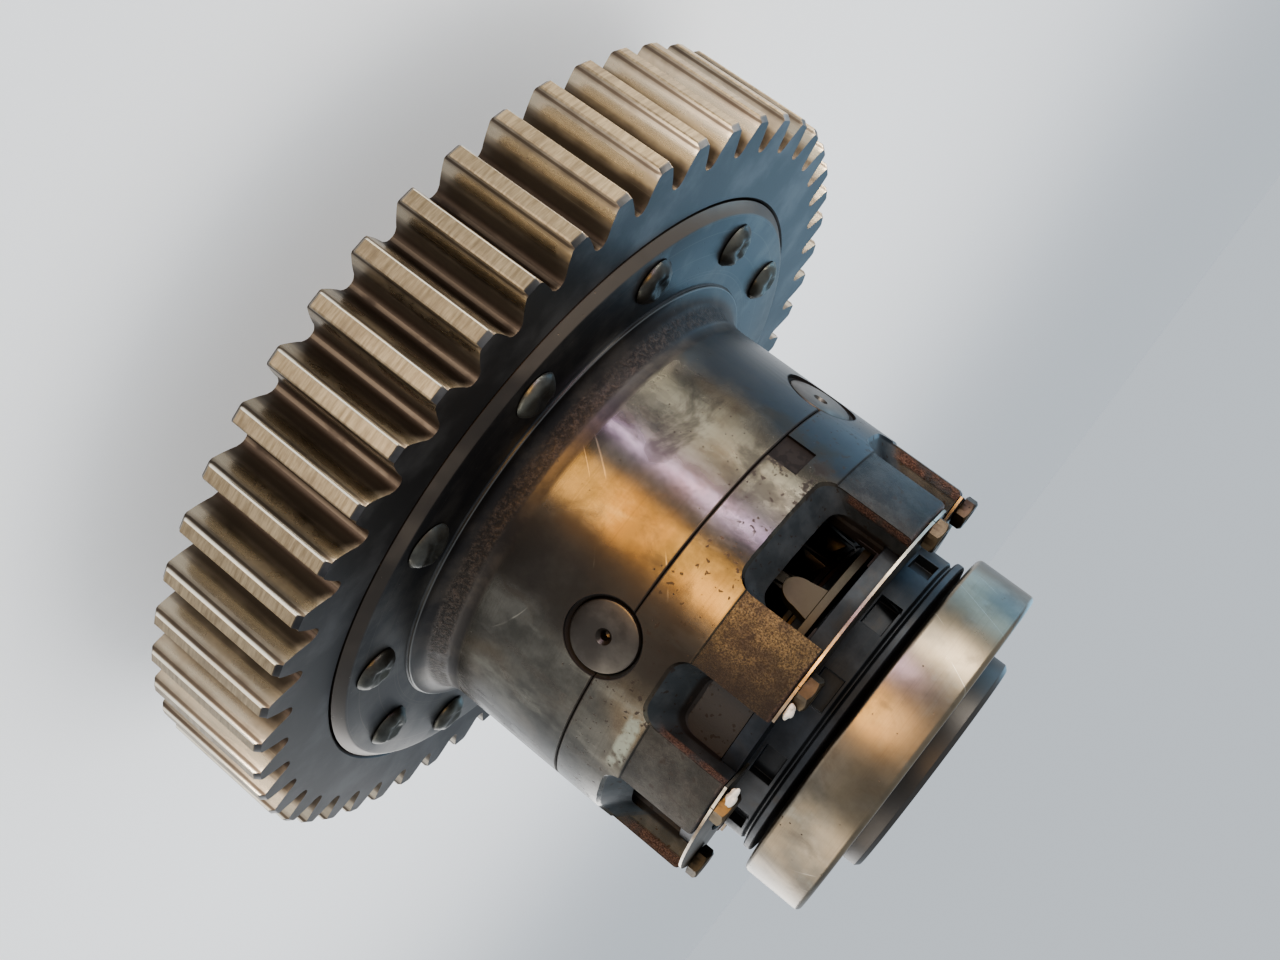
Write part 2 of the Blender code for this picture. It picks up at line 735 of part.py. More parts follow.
def build_bearing(name, low):
    race_mat = metal(f"{name}_race", (0.55, 0.47, 0.36), 0.24)
    cage_mat = metal(f"{name}_brass", (0.50, 0.36, 0.17), 0.35)
    high = low + BEARING_WIDTH
    middle = (low + high) / 2
    origin = (0, 0, middle)
    chamfer = 2.2
    outer = [
        (BEARING_R - chamfer, low),
        (BEARING_R, low + chamfer),
        (BEARING_R, high - chamfer),
        (BEARING_R - chamfer, high),
        (OUTER_SHOULDER_R, high),
        (OUTER_SHOULDER_R, middle + 6.6),
        (65.4, middle),
        (OUTER_SHOULDER_R, middle - 6.6),
        (OUTER_SHOULDER_R, low),
    ]
    turned(f"{name}_bearing_outer", outer, race_mat, SEG, origin=origin)
    inner = [
        (BEARING_BORE_R, low),
        (BEARING_BORE_R, high),
        (INNER_SHOULDER_R, high),
        (INNER_SHOULDER_R, middle + 6.6),
        (50.0, middle),
        (INNER_SHOULDER_R, middle - 6.6),
        (INNER_SHOULDER_R, low),
    ]
    turned(f"{name}_bearing_inner", inner, race_mat, SEG, origin=origin)
    band = [
        (BALL_CIRCLE_R - 1.4, middle - 8.0),
        (BALL_CIRCLE_R - 1.4, middle + 8.0),
        (BALL_CIRCLE_R + 1.4, middle + 8.0),
        (BALL_CIRCLE_R + 1.4, middle - 8.0),
    ]
    cage = turned(f"{name}_bearing_balls", band, cage_mat, SEG_MID, origin=origin)
    balls = []
    for k in range(BALLS):
        reach = Matrix.Translation((BALL_CIRCLE_R, 0, middle))
        balls.append(ball_mesh(about_z((k + 0.5) * 360 / BALLS) @ reach))
    helper = shells("balls", balls)
    modifier = cage.modifiers.new("balls", "BOOLEAN")
    modifier.operation = "UNION"
    modifier.solver = "EXACT"
    modifier.object = helper
    cut(cage, [])
    bpy.data.objects.remove(helper, do_unlink=True)


def main():
    clear_scene()
    build_ring_gear()
    build_flange_half()
    build_rivets()
    build_cover_half()
    build_cross()
    build_planets()
    build_side_gears()
    build_lock_plate()
    build_end_hub()
    build_keeper_and_bolts()
    build_bearing("upper", UPPER_BEARING_Z)
    build_bearing("lower", LOWER_BEARING_Z)


main()
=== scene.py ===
"""The looks of a vehicle differential with its ring gear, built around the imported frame."""

import math

import bmesh
import bpy
from mathutils import Matrix, Vector, noise


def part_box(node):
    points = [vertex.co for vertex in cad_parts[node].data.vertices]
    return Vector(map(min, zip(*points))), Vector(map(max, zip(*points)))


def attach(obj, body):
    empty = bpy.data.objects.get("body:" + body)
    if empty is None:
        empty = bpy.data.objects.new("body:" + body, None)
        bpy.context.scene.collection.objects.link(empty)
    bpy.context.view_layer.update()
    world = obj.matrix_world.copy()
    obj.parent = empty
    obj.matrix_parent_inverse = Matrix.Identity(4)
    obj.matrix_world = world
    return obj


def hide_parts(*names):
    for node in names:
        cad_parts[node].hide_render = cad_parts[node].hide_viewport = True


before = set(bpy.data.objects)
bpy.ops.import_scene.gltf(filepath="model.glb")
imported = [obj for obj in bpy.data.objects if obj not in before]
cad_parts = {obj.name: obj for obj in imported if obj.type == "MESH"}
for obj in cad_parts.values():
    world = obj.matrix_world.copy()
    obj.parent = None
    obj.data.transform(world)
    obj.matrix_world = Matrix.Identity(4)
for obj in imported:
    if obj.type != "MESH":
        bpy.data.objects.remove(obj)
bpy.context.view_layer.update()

MM = 0.001


def box_mm(node):
    low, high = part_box(node)
    return low / MM, high / MM


# Heights are in millimetres from the ring gear's front face, and radii from the main axis.
LIFT = box_mm("ring_gear")[1].z


def heights(node):
    return [corner.z - LIFT for corner in box_mm(node)]


TIP_R = box_mm("ring_gear")[1].x
GEAR_BACK_Z = heights("ring_gear")[0]
UPPER_BEARING_LOW, UPPER_BEARING_HIGH = heights("upper_bearing_outer")
LOWER_BEARING_LOW = heights("lower_bearing_outer")[0]
KEEPER_LOW, KEEPER_HIGH = heights("keeper_plate_1")
LOCK_LOW, LOCK_HIGH = heights("lock_plate")
HUB_HIGH = heights("end_hub")[1]
STUB_LOW = heights("case_flange_half")[0]

TEETH = 50
TOOTH_TURN = 0.5
PITCH_R = 155.6
PITCH_HALF = 1.84  # half a tooth's thickness at the pitch circle, in degrees
PRESSURE = math.radians(20)
BASE_R = PITCH_R * math.cos(PRESSURE)
ROOT_R = 148.2
END_CHAMFER = 1.7
RECESS_R = 129.3
GEAR_BORE_R = 97.0
WEB_TOP_Z = -14.0
WEB_BOTTOM_Z = -36.0
RIM_INNER_R = 132.0
FLANGE_BASE_R = 128.9
FLANGE_TOP_R = 125.4
FLANGE_TOP_Z = 3.3
RAISED_RING_R = 95.7
RAISED_RING_Z = 4.65
FILLET_END_Z = 18.0
RIVETS = 12
RIVET_CIRCLE_R = 112.6
CASE_R = 85.98
SPLIT_Z = 65.0
CROSS_Z = 60.75
BAR_Z = 89.1
BAR_R = 85.4
BAR_INNER_R = 69.5
POCKET_FLOOR_X = 73.5  # the narrow windows are blind pockets with a flat floor
LEDGE_R = 75.8
LEDGE_Z = 112.7
CASE_END_Z = 119.3
CASE_END_R = 84.1
CAVITY_R = 66.6
WINDOW_Z = 83.8
WINDOW_RAMP = 1.0
WINDOW_CORNER = 7.0
WINDOW_TURN = 1.0
WINDOW_RELIEF_R = 77.0  # the hollow behind the wide windows reaches out to here
CUTTER_TOP_Z = 140.0  # the window cutters run past the open end
CUTTER_OUTER_X = 98.0
CUTTER_INNER_X = 68.0
WIDE_HALF = 16.9
NARROW_HALF = 9.0
RIVET_HOLE_R = 5.8
BOLT_HOLE_R = 4.2
GEAR_SEAT_R = 38.7  # bore for the back of each side gear
GEAR_SEAT_RISE = 42.0  # its floor, above and below the cross pins
HUB_JOINT_R = 75.5  # the hub's flange, inside the bars
HUB_JOINT_Z = 113.0
PIN_R = 12.6
PIN_HOLE_R = 12.95
PIN_CHAMFER_R = 14.1  # the worn, grimy rim of each pin hole
PIN_OUTER_X = 85.0
BOLT_CIRCLE_R = 79.8
BOLT_ANGLES = (18.0, 72.0)
BOLT_FLATS = 11.5
BOLT_HEAD_H = 4.6
FINGER_TURN = -38.0
KEEPER_START = 10.6  # each plate bridges the wide window of its quarter
KEEPER_END = 81.4
BRIGHT_BAR = (-30.0, -5.0)  # angles of the one bar whose worn cast skin gets a painted golden reflection
SMEAR_ANGLES = (9.0, 27.0)  # a pale smear along the edge of the next bar
NOTCH_SIZE = (8.0, 13.0, 15.0)
NOTCH_ANGLES = (-66.0, -54.0)
CHIPPED_ANGLES = (-63.0, -52.0)
SHEEN_FALLOFF_ANGLES = (-24.0, -8.0)  # painted shade: the golden bar darkens from one angle to the other, a painted fall-off of its reflection
MURKY_ANGLES = (-72.0, -39.0)
OILY_ANGLES = (-17.0, 6.0)  # a dark brown oil stain beside one cross pin
# angles of a painted dark blue reflection on the case
DARK_REFLECTION_ANGLES = (-104.0, -64.0)
SHEEN_ANGLES = (-58.0, -42.0)  # a paler patch with brush marks: a painted highlight
# angle, radius, height and size of each dab of assembly paint
PAINT_DABS = ((-12.4, 82.2, 122.2, 2.5), (12.9, 82.2, 123.2, 2.9))
JOURNAL_R = 44.65
AXLE_BORE_R = 30.0
INNER_SHOULDER_R = 52.7
OUTER_SHOULDER_R = 62.4
BALL_CIRCLE_R = 57.6
BALL_GROOVE_R = 7.4
BALL_R = 6.3
BALLS = 12
NECK_R = 62.0
COLLAR_R = 63.8
NECK_SLOTS = 12

SEGMENTS = 160
FINE = 48


# ---- materials

class Finish:
    """One procedural material. Its patterns are measured in millimetres in the part's frame."""

    def __init__(self, name, light, dark, rough, metal=1.0):
        self.material = bpy.data.materials.new(name)
        self.material.use_nodes = True
        self.tree = self.material.node_tree
        self.shader = self.tree.nodes["Principled BSDF"]
        coords = self.tree.nodes.new("ShaderNodeTexCoord")
        self.normal = coords.outputs["Normal"]
        self.at = self.scaled(coords.outputs["Object"], (1 / MM, 1 / MM, 1 / MM))
        self.x, self.y, z = (self.part(self.at, axis) for axis in range(3))
        flat = self.scaled(self.at, (1, 1, 0))
        self.radius = self.vector_math("LENGTH", flat, output="Value")
        self.height = self.math("SUBTRACT", z, LIFT)
        self.angle = self.math("DEGREES", self.math("ARCTAN2", self.y, self.x))
        self.relief_sum = None
        self.color = self.mottle(self.noise(0.045, 5, 0.6), 0.36, 0.66, dark, light)
        self.rough = self.blend(self.noise(0.11, 4, 0.6), rough[0], rough[1])
        self.metal = metal

    def put(self, socket, value):
        if isinstance(value, bpy.types.NodeSocket):
            self.tree.links.new(value, socket)
        elif isinstance(value, tuple) and socket.type == "RGBA":
            socket.default_value = (*value, 1.0)
        else:
            socket.default_value = value

    def add(self, kind, inputs, output=0, **settings):
        """Adds a shader node and returns one of its outputs."""
        node = self.tree.nodes.new(f"ShaderNode{kind}")
        for name, value in settings.items():
            setattr(node, name, value)
        for name, value in inputs.items():
            self.put(node.inputs[name], value)
        return node.outputs[output]

    def math(self, operation, *values):
        return self.add("Math", dict(enumerate(values)), operation=operation)

    def vector_math(self, operation, *vectors, output="Vector"):
        return self.add("VectorMath", dict(enumerate(vectors)), output, operation=operation)

    def scaled(self, vector, factors):
        return self.vector_math("MULTIPLY", vector, factors)

    def part(self, vector, axis):
        """The X, Y or Z of a vector, by number."""
        return self.add("SeparateXYZ", {0: vector}, axis)

    def up_facing(self):
        return self.part(self.normal, 2)

    def noise(self, scale, detail=3.0, rough=0.55, vector=None, distortion=0.0):
        return self.add("TexNoise", {
            "Vector": vector or self.at, "Scale": scale, "Detail": detail, "Roughness": rough,
            "Distortion": distortion,
        }, "Fac")

    def stretched(self, factors, detail=3.0, rough=0.6):
        """Noise whose grains are drawn out along the axes with small factors."""
        return self.noise(1.0, detail, rough, self.scaled(self.at, factors))

    def step(self, value, low, high):
        """Rises smoothly from 0 at low to 1 at high, or falls where low is the larger."""
        falls = low > high
        return self.add("MapRange", {
            "Value": value, "From Min": min(low, high), "From Max": max(low, high),
            "To Min": 1.0 if falls else 0.0, "To Max": 0.0 if falls else 1.0,
        }, interpolation_type="SMOOTHSTEP")

    def blend(self, factor, a, b):
        return self.add("MapRange", {"Value": factor, "To Min": a, "To Max": b})

    def mix(self, factor, a, b):
        return self.add("Mix", {0: factor, 6: a, 7: b}, 2, data_type="RGBA")

    def mottle(self, noise, low, high, dark, light):
        """A colour that goes from dark to light with the noise."""
        return self.mix(self.step(noise, low, high), dark, light)

    def both(self, *masks):
        result = masks[0]
        for mask in masks[1:]:
            result = self.math("MULTIPLY", result, mask)
        return result

    def all_of(self, masks):
        return self.both(*masks) if isinstance(masks, tuple) else masks

    def either(self, a, b):
        return self.math("MAXIMUM", a, b)

    def band(self, value, low, high, soft):
        rise = self.step(value, low - soft, low + soft)
        fall = self.step(value, high + soft, high - soft)
        return self.both(rise, fall)

    def coat(self, masks, color=None, rough=None, metal=None):
        """Lays a colour, roughness or metal value over what is there, where every mask is 1."""
        mask = self.all_of(masks)
        if color is not None:
            self.color = self.mix(mask, self.color, color)
        if rough is not None:
            self.rough = self.blend(mask, self.rough, rough)
        if metal is not None:
            self.metal = self.blend(mask, self.metal, metal)

    def relief(self, patterns, depth):
        """Adds a pattern of heights to the surface, its full range depth millimetres."""
        raised = self.math("MULTIPLY", self.all_of(patterns), depth)
        if self.relief_sum is not None:
            raised = self.math("ADD", self.relief_sum, raised)
        self.relief_sum = raised

    def done(self):
        self.put(self.shader.inputs["Base Color"], self.color)
        self.put(self.shader.inputs["Roughness"], self.rough)
        self.put(self.shader.inputs["Metallic"], self.metal)
        if self.relief_sum is not None:
            bump = self.add("Bump", {"Strength": 1.0, "Distance": MM, "Height": self.relief_sum})
            self.put(self.shader.inputs["Normal"], bump)
        return self.material

    def turning_marks(self, depth=0.006, darken=0.25):
        lines = self.stretched((0.015, 0.015, 2.6))
        self.relief(lines, depth)
        self.coat((self.step(lines, 0.5, 0.3), darken), (0.05, 0.042, 0.035))

    def pits(self, size=0.3, amount=0.1, color=(0.03, 0.022, 0.018)):
        spots = self.add("TexVoronoi", {"Vector": self.at, "Scale": size}, "Distance")
        hole = self.step(spots, amount, amount * 0.55)
        where = self.step(self.noise(0.035, 2), 0.5, 0.6)
        mask = self.both(hole, where)
        self.coat(mask, color, 0.7, 0.4)
        self.relief(mask, -0.12)

    def scratches(self, color=(0.36, 0.33, 0.28), amount=0.5):
        turned = self.vector_math("CROSS_PRODUCT", self.at, (0.35, 0.2, 0.91))
        lines = self.noise(0.6, 2, 0.5, self.scaled(turned, (0.03, 2.4, 0.1)))
        where = self.step(self.noise(0.05, 2), 0.5, 0.6)
        self.coat((self.step(lines, 0.71, 0.75), where, amount), color, 0.3)

    def grain(self, size, depth):
        self.relief(self.noise(size, 4, 0.7), depth)

    def wandering_angle(self, scale, reach):
        """The angle, pushed to and fro so that the edges of stains and painted reflections come
        out ragged.
        """
        noise_value = self.math("SUBTRACT", self.noise(scale, 4, 0.6), 0.5)
        return self.math("ADD", self.angle, self.math("MULTIPLY", noise_value, reach))

    def oil_film(self, amount=0.6):
        film = self.step(self.noise(0.06, 5, 0.65, distortion=0.6), 0.52, 0.72)
        self.coat((film, amount), (0.045, 0.034, 0.026), 0.42, 0.75)


GOLD = (0.22, 0.15, 0.08)
# near black: grime in the parting seam, and painted shade inside the cover half
GRIME_AND_SHADE = (0.012, 0.01, 0.009)
LAND_HALF = 0.118  # half a tip land's width as a share of the tooth spacing


def gear_finish():
    f = Finish("gear_steel", (0.235, 0.205, 0.165), (0.12, 0.103, 0.084), (0.27, 0.4))
    along = f.stretched((0.9, 0.9, 0.03))
    f.coat((f.step(along, 0.55, 0.7), 0.45), (0.33, 0.285, 0.225), 0.26)
    f.relief(along, 0.006)
    contact = f.band(f.radius, 155.6, 159.2, 0.9)
    f.coat((contact, 0.7), (0.46, 0.395, 0.3), 0.22)
    step_line = f.band(f.radius, 160.0, 160.9, 0.2)
    f.coat((step_line, 0.85), (0.035, 0.027, 0.022), 0.5)
    # Painted shade: the lower flanks and the floors of the tooth gaps are coloured dark.
    low_flank_shade = f.step(f.radius, 155.4, 152.4)
    f.coat((low_flank_shade, 0.92), (0.048, 0.039, 0.031), 0.46, 0.85)
    root_shade = f.step(f.radius, 150.6, 149.2)
    f.coat(root_shade, (0.03, 0.022, 0.017), 0.5, 0.8)
    # Painted highlight: a pale, broken line along the floor of each tooth gap.
    root_highlight = f.band(f.radius, 147.9, 148.18, 0.06)
    sheen_patch = f.step(f.noise(0.09, 3), 0.3, 0.5)
    f.coat((root_highlight, sheen_patch), (0.19, 0.155, 0.12), 0.36, 0.95)
    land = f.step(f.radius, TIP_R - 0.7, TIP_R - 0.3)
    across = f.stretched((0.1, 0.1, 0.9), 4, 0.7)
    wear_and_sheen = f.mottle(across, 0.25, 0.75, (0.15, 0.115, 0.074), (0.3, 0.24, 0.16))
    f.coat(land, wear_and_sheen, 0.33, 0.95)
    # Painted highlight: a thin pale line along the same edge of every tip land.
    from_gap = f.math("SUBTRACT", f.angle, TOOTH_TURN - 180 / TEETH)
    turn = f.math("DIVIDE", from_gap, 360 / TEETH)
    across_tooth = f.math("SUBTRACT", f.math("FLOORED_MODULO", turn, 1.0), 0.5)
    highlight_edge = f.step(across_tooth, -LAND_HALF + 0.016, -LAND_HALF + 0.006)
    tip = f.step(f.radius, TIP_R - 1.0, TIP_R - 0.5)
    f.coat((tip, highlight_edge), (0.8, 0.74, 0.62), 0.2, 1.0)
    f.relief((across, land), 0.01)
    grime = f.step(f.noise(0.05, 4, 0.6), 0.48, 0.7)
    f.coat((grime, 0.45), (0.05, 0.04, 0.032), 0.45, 0.8)
    face = f.either(
        f.both(f.step(f.up_facing(), 0.35, 0.6), f.step(f.height, -2.4, -1.2)),
        f.both(f.step(f.up_facing(), 0.9, 0.97), f.step(f.radius, RECESS_R - 0.5, RECESS_R)),
    )
    smears = f.step(f.noise(0.035, 5, 0.6), 0.42, 0.7)
    f.coat(face, f.mix(smears, (0.022, 0.023, 0.026), (0.06, 0.062, 0.068)), 0.42, 0.85)
    below = f.step(f.up_facing(), -0.9, -0.97)
    f.coat(below, f.mix(smears, (0.04, 0.037, 0.034), (0.115, 0.105, 0.088)), 0.42, 0.85)
    inside = f.both(f.step(f.radius, 147.4, 146.8), f.step(f.height, -0.3, -0.8))
    f.coat(inside, f.mix(smears, (0.035, 0.03, 0.026), (0.1, 0.058, 0.038)), 0.6, 0.6)
    f.grain(0.9, 0.01)
    return f.done()


def case_finish(name):
    """Turned steel of both case halves: warm oil stains over olive grey, with fine marks, a
    painted pale highlight and a painted dark blue reflection at given angles.
    """
    f = Finish(name, (0.12, 0.111, 0.095), (0.058, 0.054, 0.047), (0.16, 0.24))
    warm = f.step(f.noise(0.016, 3, 0.5, distortion=0.3), 0.42, 0.62)
    f.coat((warm, 0.35), GOLD, 0.24)
    streaks = f.stretched((0.045, 0.045, 0.018), 5, 0.65)
    f.coat((f.step(streaks, 0.56, 0.7), 0.5), (0.2, 0.19, 0.16), 0.32)
    f.coat((f.step(streaks, 0.46, 0.34), 0.6), (0.04, 0.036, 0.033), 0.4, 0.85)
    around = f.wandering_angle(0.03, 22.0)
    f.coat((f.band(around, *OILY_ANGLES, 4.0), 0.75), (0.034, 0.028, 0.024), 0.34, 0.9)
    # Painted reflection: a dark blue band on one side of the case.
    f.coat((f.band(around, *DARK_REFLECTION_ANGLES, 5.0), 0.85), (0.024, 0.033, 0.043), 0.34, 0.9)
    # Painted highlight: a pale patch streaked like brush marks, at given angles.
    sheen_patch = f.both(f.band(around, *SHEEN_ANGLES, 3.0), f.step(streaks, 0.4, 0.62))
    f.coat((sheen_patch, 0.6), (0.175, 0.165, 0.125), 0.42, 0.8)
    murk = f.step(f.noise(0.055, 5, 0.6, distortion=0.5), 0.5, 0.66)
    murky = f.band(around, *MURKY_ANGLES, 3.0)
    f.coat((murky, murk, 0.75), (0.04, 0.036, 0.03), 0.36, 0.9)
    f.oil_film(0.35)
    f.turning_marks(0.004, 0.18)
    f.scratches(amount=0.35)
    f.pits()
    near_split = f.band(f.height, SPLIT_Z - 0.75, SPLIT_Z + 0.75, 0.22)
    f.coat((near_split, 0.8), GRIME_AND_SHADE, 0.7, 0.3)
    aside = f.math("MINIMUM", f.math("ABSOLUTE", f.x), f.math("ABSOLUTE", f.y))
    up = f.math("SUBTRACT", f.height, CROSS_Z)
    from_pin = f.math("SQRT", f.math("ADD", f.both(aside, aside), f.both(up, up)))
    rim = f.step(from_pin, PIN_CHAMFER_R + 0.6, PIN_CHAMFER_R - 0.1)
    f.coat((rim, f.step(f.radius, 80.0, 82.0)), (0.009, 0.008, 0.008), 0.75, 0.2)
    return f


def flange_half_finish():
    f = case_finish("case_steel")
    foot = f.step(f.height, FILLET_END_Z + 1.6, FILLET_END_Z - 0.6)
    smears = f.step(f.noise(0.05, 5, 0.6), 0.42, 0.68)
    f.coat(foot, f.mix(smears, (0.028, 0.026, 0.026), (0.062, 0.054, 0.047)), 0.42, 0.8)
    grains = f.noise(0.62, 4, 0.75)
    patchy = f.step(f.noise(0.03, 3), 0.36, 0.5)
    rough_part = f.both(foot, f.band(f.height, 7.8, 13.6, 1.2), patchy)
    rust = f.mottle(grains, 0.42, 0.66, (0.013, 0.011, 0.01), (0.062, 0.048, 0.04))
    f.coat((rough_part, 0.8), rust, 0.55, 0.6)
    f.relief((rough_part, grains), 0.45)
    plate = f.step(f.radius, RAISED_RING_R - 0.9, RAISED_RING_R - 0.2)
    f.coat(plate, f.mix(smears, (0.034, 0.035, 0.038), (0.076, 0.074, 0.071)), 0.4, 0.85)
    outward_lines = f.add("CombineXYZ", {0: f.math("MULTIPLY", f.radius, 1.4)})
    rings = f.noise(1.0, 2, 0.5, outward_lines)
    f.coat((plate, f.step(rings, 0.58, 0.66), 0.4), (0.12, 0.105, 0.085), 0.36)
    edge = f.band(f.radius, FLANGE_TOP_R - 0.1, FLANGE_BASE_R + 0.3, 0.5)
    worn_edge = f.mottle(f.noise(0.02), 0.4, 0.6, (0.075, 0.062, 0.052), (0.175, 0.14, 0.11))
    f.coat((edge, 0.9), worn_edge, 0.36, 0.95)
    ridge = f.band(f.radius, RAISED_RING_R - 0.5, RAISED_RING_R + 0.2, 0.25)
    f.coat((ridge, f.step(f.height, 3.4, 4.0), 0.7), (0.15, 0.15, 0.145), 0.35, 0.95)
    under = f.step(f.height, -13.0, -15.0)
    f.coat(under, f.mix(smears, (0.045, 0.038, 0.033), (0.125, 0.098, 0.072)), 0.5, 0.7)
    journal = f.both(under, f.step(f.radius, 45.6, 45.0))
    f.coat(journal, (0.3, 0.275, 0.235), 0.28, 1.0)
    f.grain(0.9, 0.012)
    return f.done()


def cover_half_finish():
    f = case_finish("cover_steel")
    smear = f.both(f.band(f.height, 82.4, 87.4, 1.0), f.band(f.angle, *SMEAR_ANGLES, 2.0))
    f.coat((smear, f.step(f.noise(0.16, 4), 0.38, 0.55)), (0.21, 0.22, 0.18), 0.4, 0.75)
    cast = f.step(f.height, BAR_Z - 0.9, BAR_Z + 0.6)
    # Painted reflection: one bar's cast skin is coloured golden.
    golden = f.band(f.angle, *BRIGHT_BAR, 2.0)
    around = f.wandering_angle(0.16, 16.0)
    grains = f.noise(1.6, 5, 0.75)
    wear_and_sheen = f.noise(0.12, 4, 0.6)
    golden_sheen = f.mottle(wear_and_sheen, 0.36, 0.62, (0.085, 0.068, 0.048), (0.215, 0.168, 0.095))
    skin = f.mottle(grains, 0.34, 0.7, (0.034, 0.027, 0.02), golden_sheen)
    f.coat((cast, golden), skin, 0.44, 0.8)
    # Painted shade: the golden colour darkens across the bar.
    sheen_falloff = f.step(around, *SHEEN_FALLOFF_ANGLES)
    f.coat((cast, golden, sheen_falloff, 0.85), (0.024, 0.02, 0.018), 0.46, 0.7)
    cloudy = f.noise(0.1, 5, 0.7)
    plain = f.mottle(cloudy, 0.4, 0.66, (0.022, 0.021, 0.02), (0.046, 0.043, 0.039))
    f.coat((cast, f.math("SUBTRACT", 1.0, golden), 0.85), plain, 0.42, 0.85)
    f.relief((cast, grains, f.blend(golden, 0.35, 0.8)), 0.28)
    wall = f.step(f.radius, CASE_R - 0.9, CASE_R - 1.4)
    sides = f.mottle(f.noise(0.12, 4), 0.4, 0.7, (0.044, 0.052, 0.058), (0.072, 0.081, 0.088))
    f.coat(wall, sides, 0.48, 0.75)
    # Painted shade: the cover half's inner surfaces, behind the windows and below the ledge, are
    # coloured near black.
    deep = f.step(f.radius, WINDOW_RELIEF_R + 0.6, WINDOW_RELIEF_R - 1.0)
    low = f.step(f.height, LEDGE_Z + 2.0, LEDGE_Z)
    f.coat((deep, low), GRIME_AND_SHADE, 0.6, 0.5)
    pocket = f.band(f.radius, POCKET_FLOOR_X - 0.3, POCKET_FLOOR_X + 1.2, 0.2)
    f.coat((pocket, low), (0.05, 0.047, 0.046), 0.5, 0.6)
    lip = f.both(f.band(f.radius, CASE_R - 4.4, CASE_R - 1.0, 0.6), f.step(f.height, 90.0, 96.0))
    pink = f.mottle(grains, 0.4, 0.64, (0.05, 0.026, 0.021), (0.185, 0.118, 0.094))
    f.coat((lip, f.step(f.noise(0.07, 3), 0.36, 0.52), 0.9), pink, 0.5, 0.6)
    f.relief((lip, grains), 0.3)
    notch = f.both(
        f.band(f.angle, *NOTCH_ANGLES, 0.3), f.band(f.height, SPLIT_Z - 1.0, 77.4, 0.4),
        f.step(f.radius, CASE_R - 0.35, CASE_R - 0.6),
    )
    ragged = f.both(
        f.band(f.angle, *CHIPPED_ANGLES, 2.0),
        f.band(f.height, SPLIT_Z + 1.0, WINDOW_Z + 1.0, 2.0),
        f.step(f.noise(0.16, 4, 0.6), 0.5, 0.56),
    )
    specks = f.step(f.noise(0.42, 2, 0.5), 0.64, 0.68)
    f.coat((specks, 0.8), (0.03, 0.022, 0.017), 0.5, 0.6)
    f.coat(notch, (0.014, 0.011, 0.01), 0.75, 0.5)
    f.coat((ragged, 0.85), (0.022, 0.016, 0.013), 0.6, 0.6)
    f.grain(0.9, 0.012)
    return f.done()


def plain_metal(name, light, dark, rough, metal=1.0, lines=True, oil=0.5, grain=0.012):
    f = Finish(name, light, dark, rough, metal)
    f.oil_film(oil)
    if lines:
        f.turning_marks()
    f.pits(0.26, 0.08)
    f.grain(0.8, grain)
    return f


def race_finish():
    f = Finish("race_steel", (0.205, 0.18, 0.145), (0.112, 0.1, 0.083), (0.25, 0.36))
    warm = f.step(f.noise(0.022, 4, 0.55), 0.42, 0.62)
    f.coat((warm, 0.4), (0.3, 0.22, 0.13), 0.26)
    pale = f.step(f.noise(0.05, 5, 0.6), 0.55, 0.7)
    f.coat((pale, 0.45), (0.23, 0.225, 0.195), 0.34)
    f.oil_film(0.35)
    f.turning_marks(0.003, 0.12)
    f.scratches((0.62, 0.58, 0.5), 0.4)
    f.pits(0.24, 0.08, (0.06, 0.045, 0.03))
    return f.done()


def hub_finish():
    light, dark = (0.052, 0.056, 0.064), (0.024, 0.026, 0.03)
    f = plain_metal("hub_steel", light, dark, (0.4, 0.55), 0.75)
    ends = f.step(f.height, HUB_HIGH - 8.0, HUB_HIGH - 6.0)
    f.coat((ends, 0.7), (0.085, 0.075, 0.066), 0.4)
    return f.done()


def keeper_finish():
    light, dark = (0.46, 0.41, 0.34), (0.17, 0.135, 0.1)
    f = plain_metal("keeper_steel", light, dark, (0.26, 0.4), 1.0, False)
    f.coat((f.step(f.up_facing(), 0.6, 0.9), 0.8), (0.05, 0.042, 0.036), 0.45, 0.85)
    return f.done()


DARK_STEEL = (0.045, 0.038, 0.03), (0.02, 0.017, 0.014), (0.34, 0.48), 0.9, True, 0.6
# light and dark colour, roughness, metal, turning marks, oil film and depth of the grain
PLAIN_METALS = {
    "bolt_steel": (
        (0.125, 0.098, 0.064), (0.04, 0.032, 0.024), (0.36, 0.52), 0.85, False, 0.7, 0.03),
    "rivet_steel": (
        (0.125, 0.128, 0.112), (0.045, 0.045, 0.042), (0.34, 0.5), 0.85, False, 0.6, 0.05),
    "pin_steel": ((0.11, 0.1, 0.088), (0.055, 0.049, 0.044), (0.34, 0.46), 0.9, False),
    "lock_plate_steel": (
        (0.052, 0.048, 0.032), (0.028, 0.026, 0.018), (0.46, 0.6), 0.6, False, 0.4),
    "planet_steel": DARK_STEEL,
    "side_gear_steel": DARK_STEEL,
    "washer_bronze": (
        (0.09, 0.06, 0.03), (0.045, 0.028, 0.015), (0.36, 0.5), 0.9, True, 0.6),
    "cage_brass": ((0.52, 0.36, 0.15), (0.3, 0.2, 0.085), (0.26, 0.4), 1.0, True),
}


def metal(name):
    return plain_metal(name, *PLAIN_METALS[name]).done()


def ball_finish():
    f = Finish("ball_steel", (0.6, 0.57, 0.52), (0.44, 0.41, 0.36), (0.1, 0.18))
    f.oil_film(0.25)
    f.grain(0.6, 0.002)
    return f.done()


def paint_finish():
    f = Finish("white_paint", (0.78, 0.77, 0.72), (0.58, 0.56, 0.5), (0.45, 0.6), 0.0)
    f.coat((f.step(f.noise(0.5, 4), 0.55, 0.7), 0.5), (0.3, 0.26, 0.21))
    f.grain(0.9, 0.08)
    return f.done()


# ---- shapes

def polar(radius, angle, z):
    return radius * math.cos(angle), radius * math.sin(angle), z


def circle(radius, z, count=SEGMENTS):
    step = 2 * math.pi / count
    return [polar(radius, k * step, z) for k in range(count)]


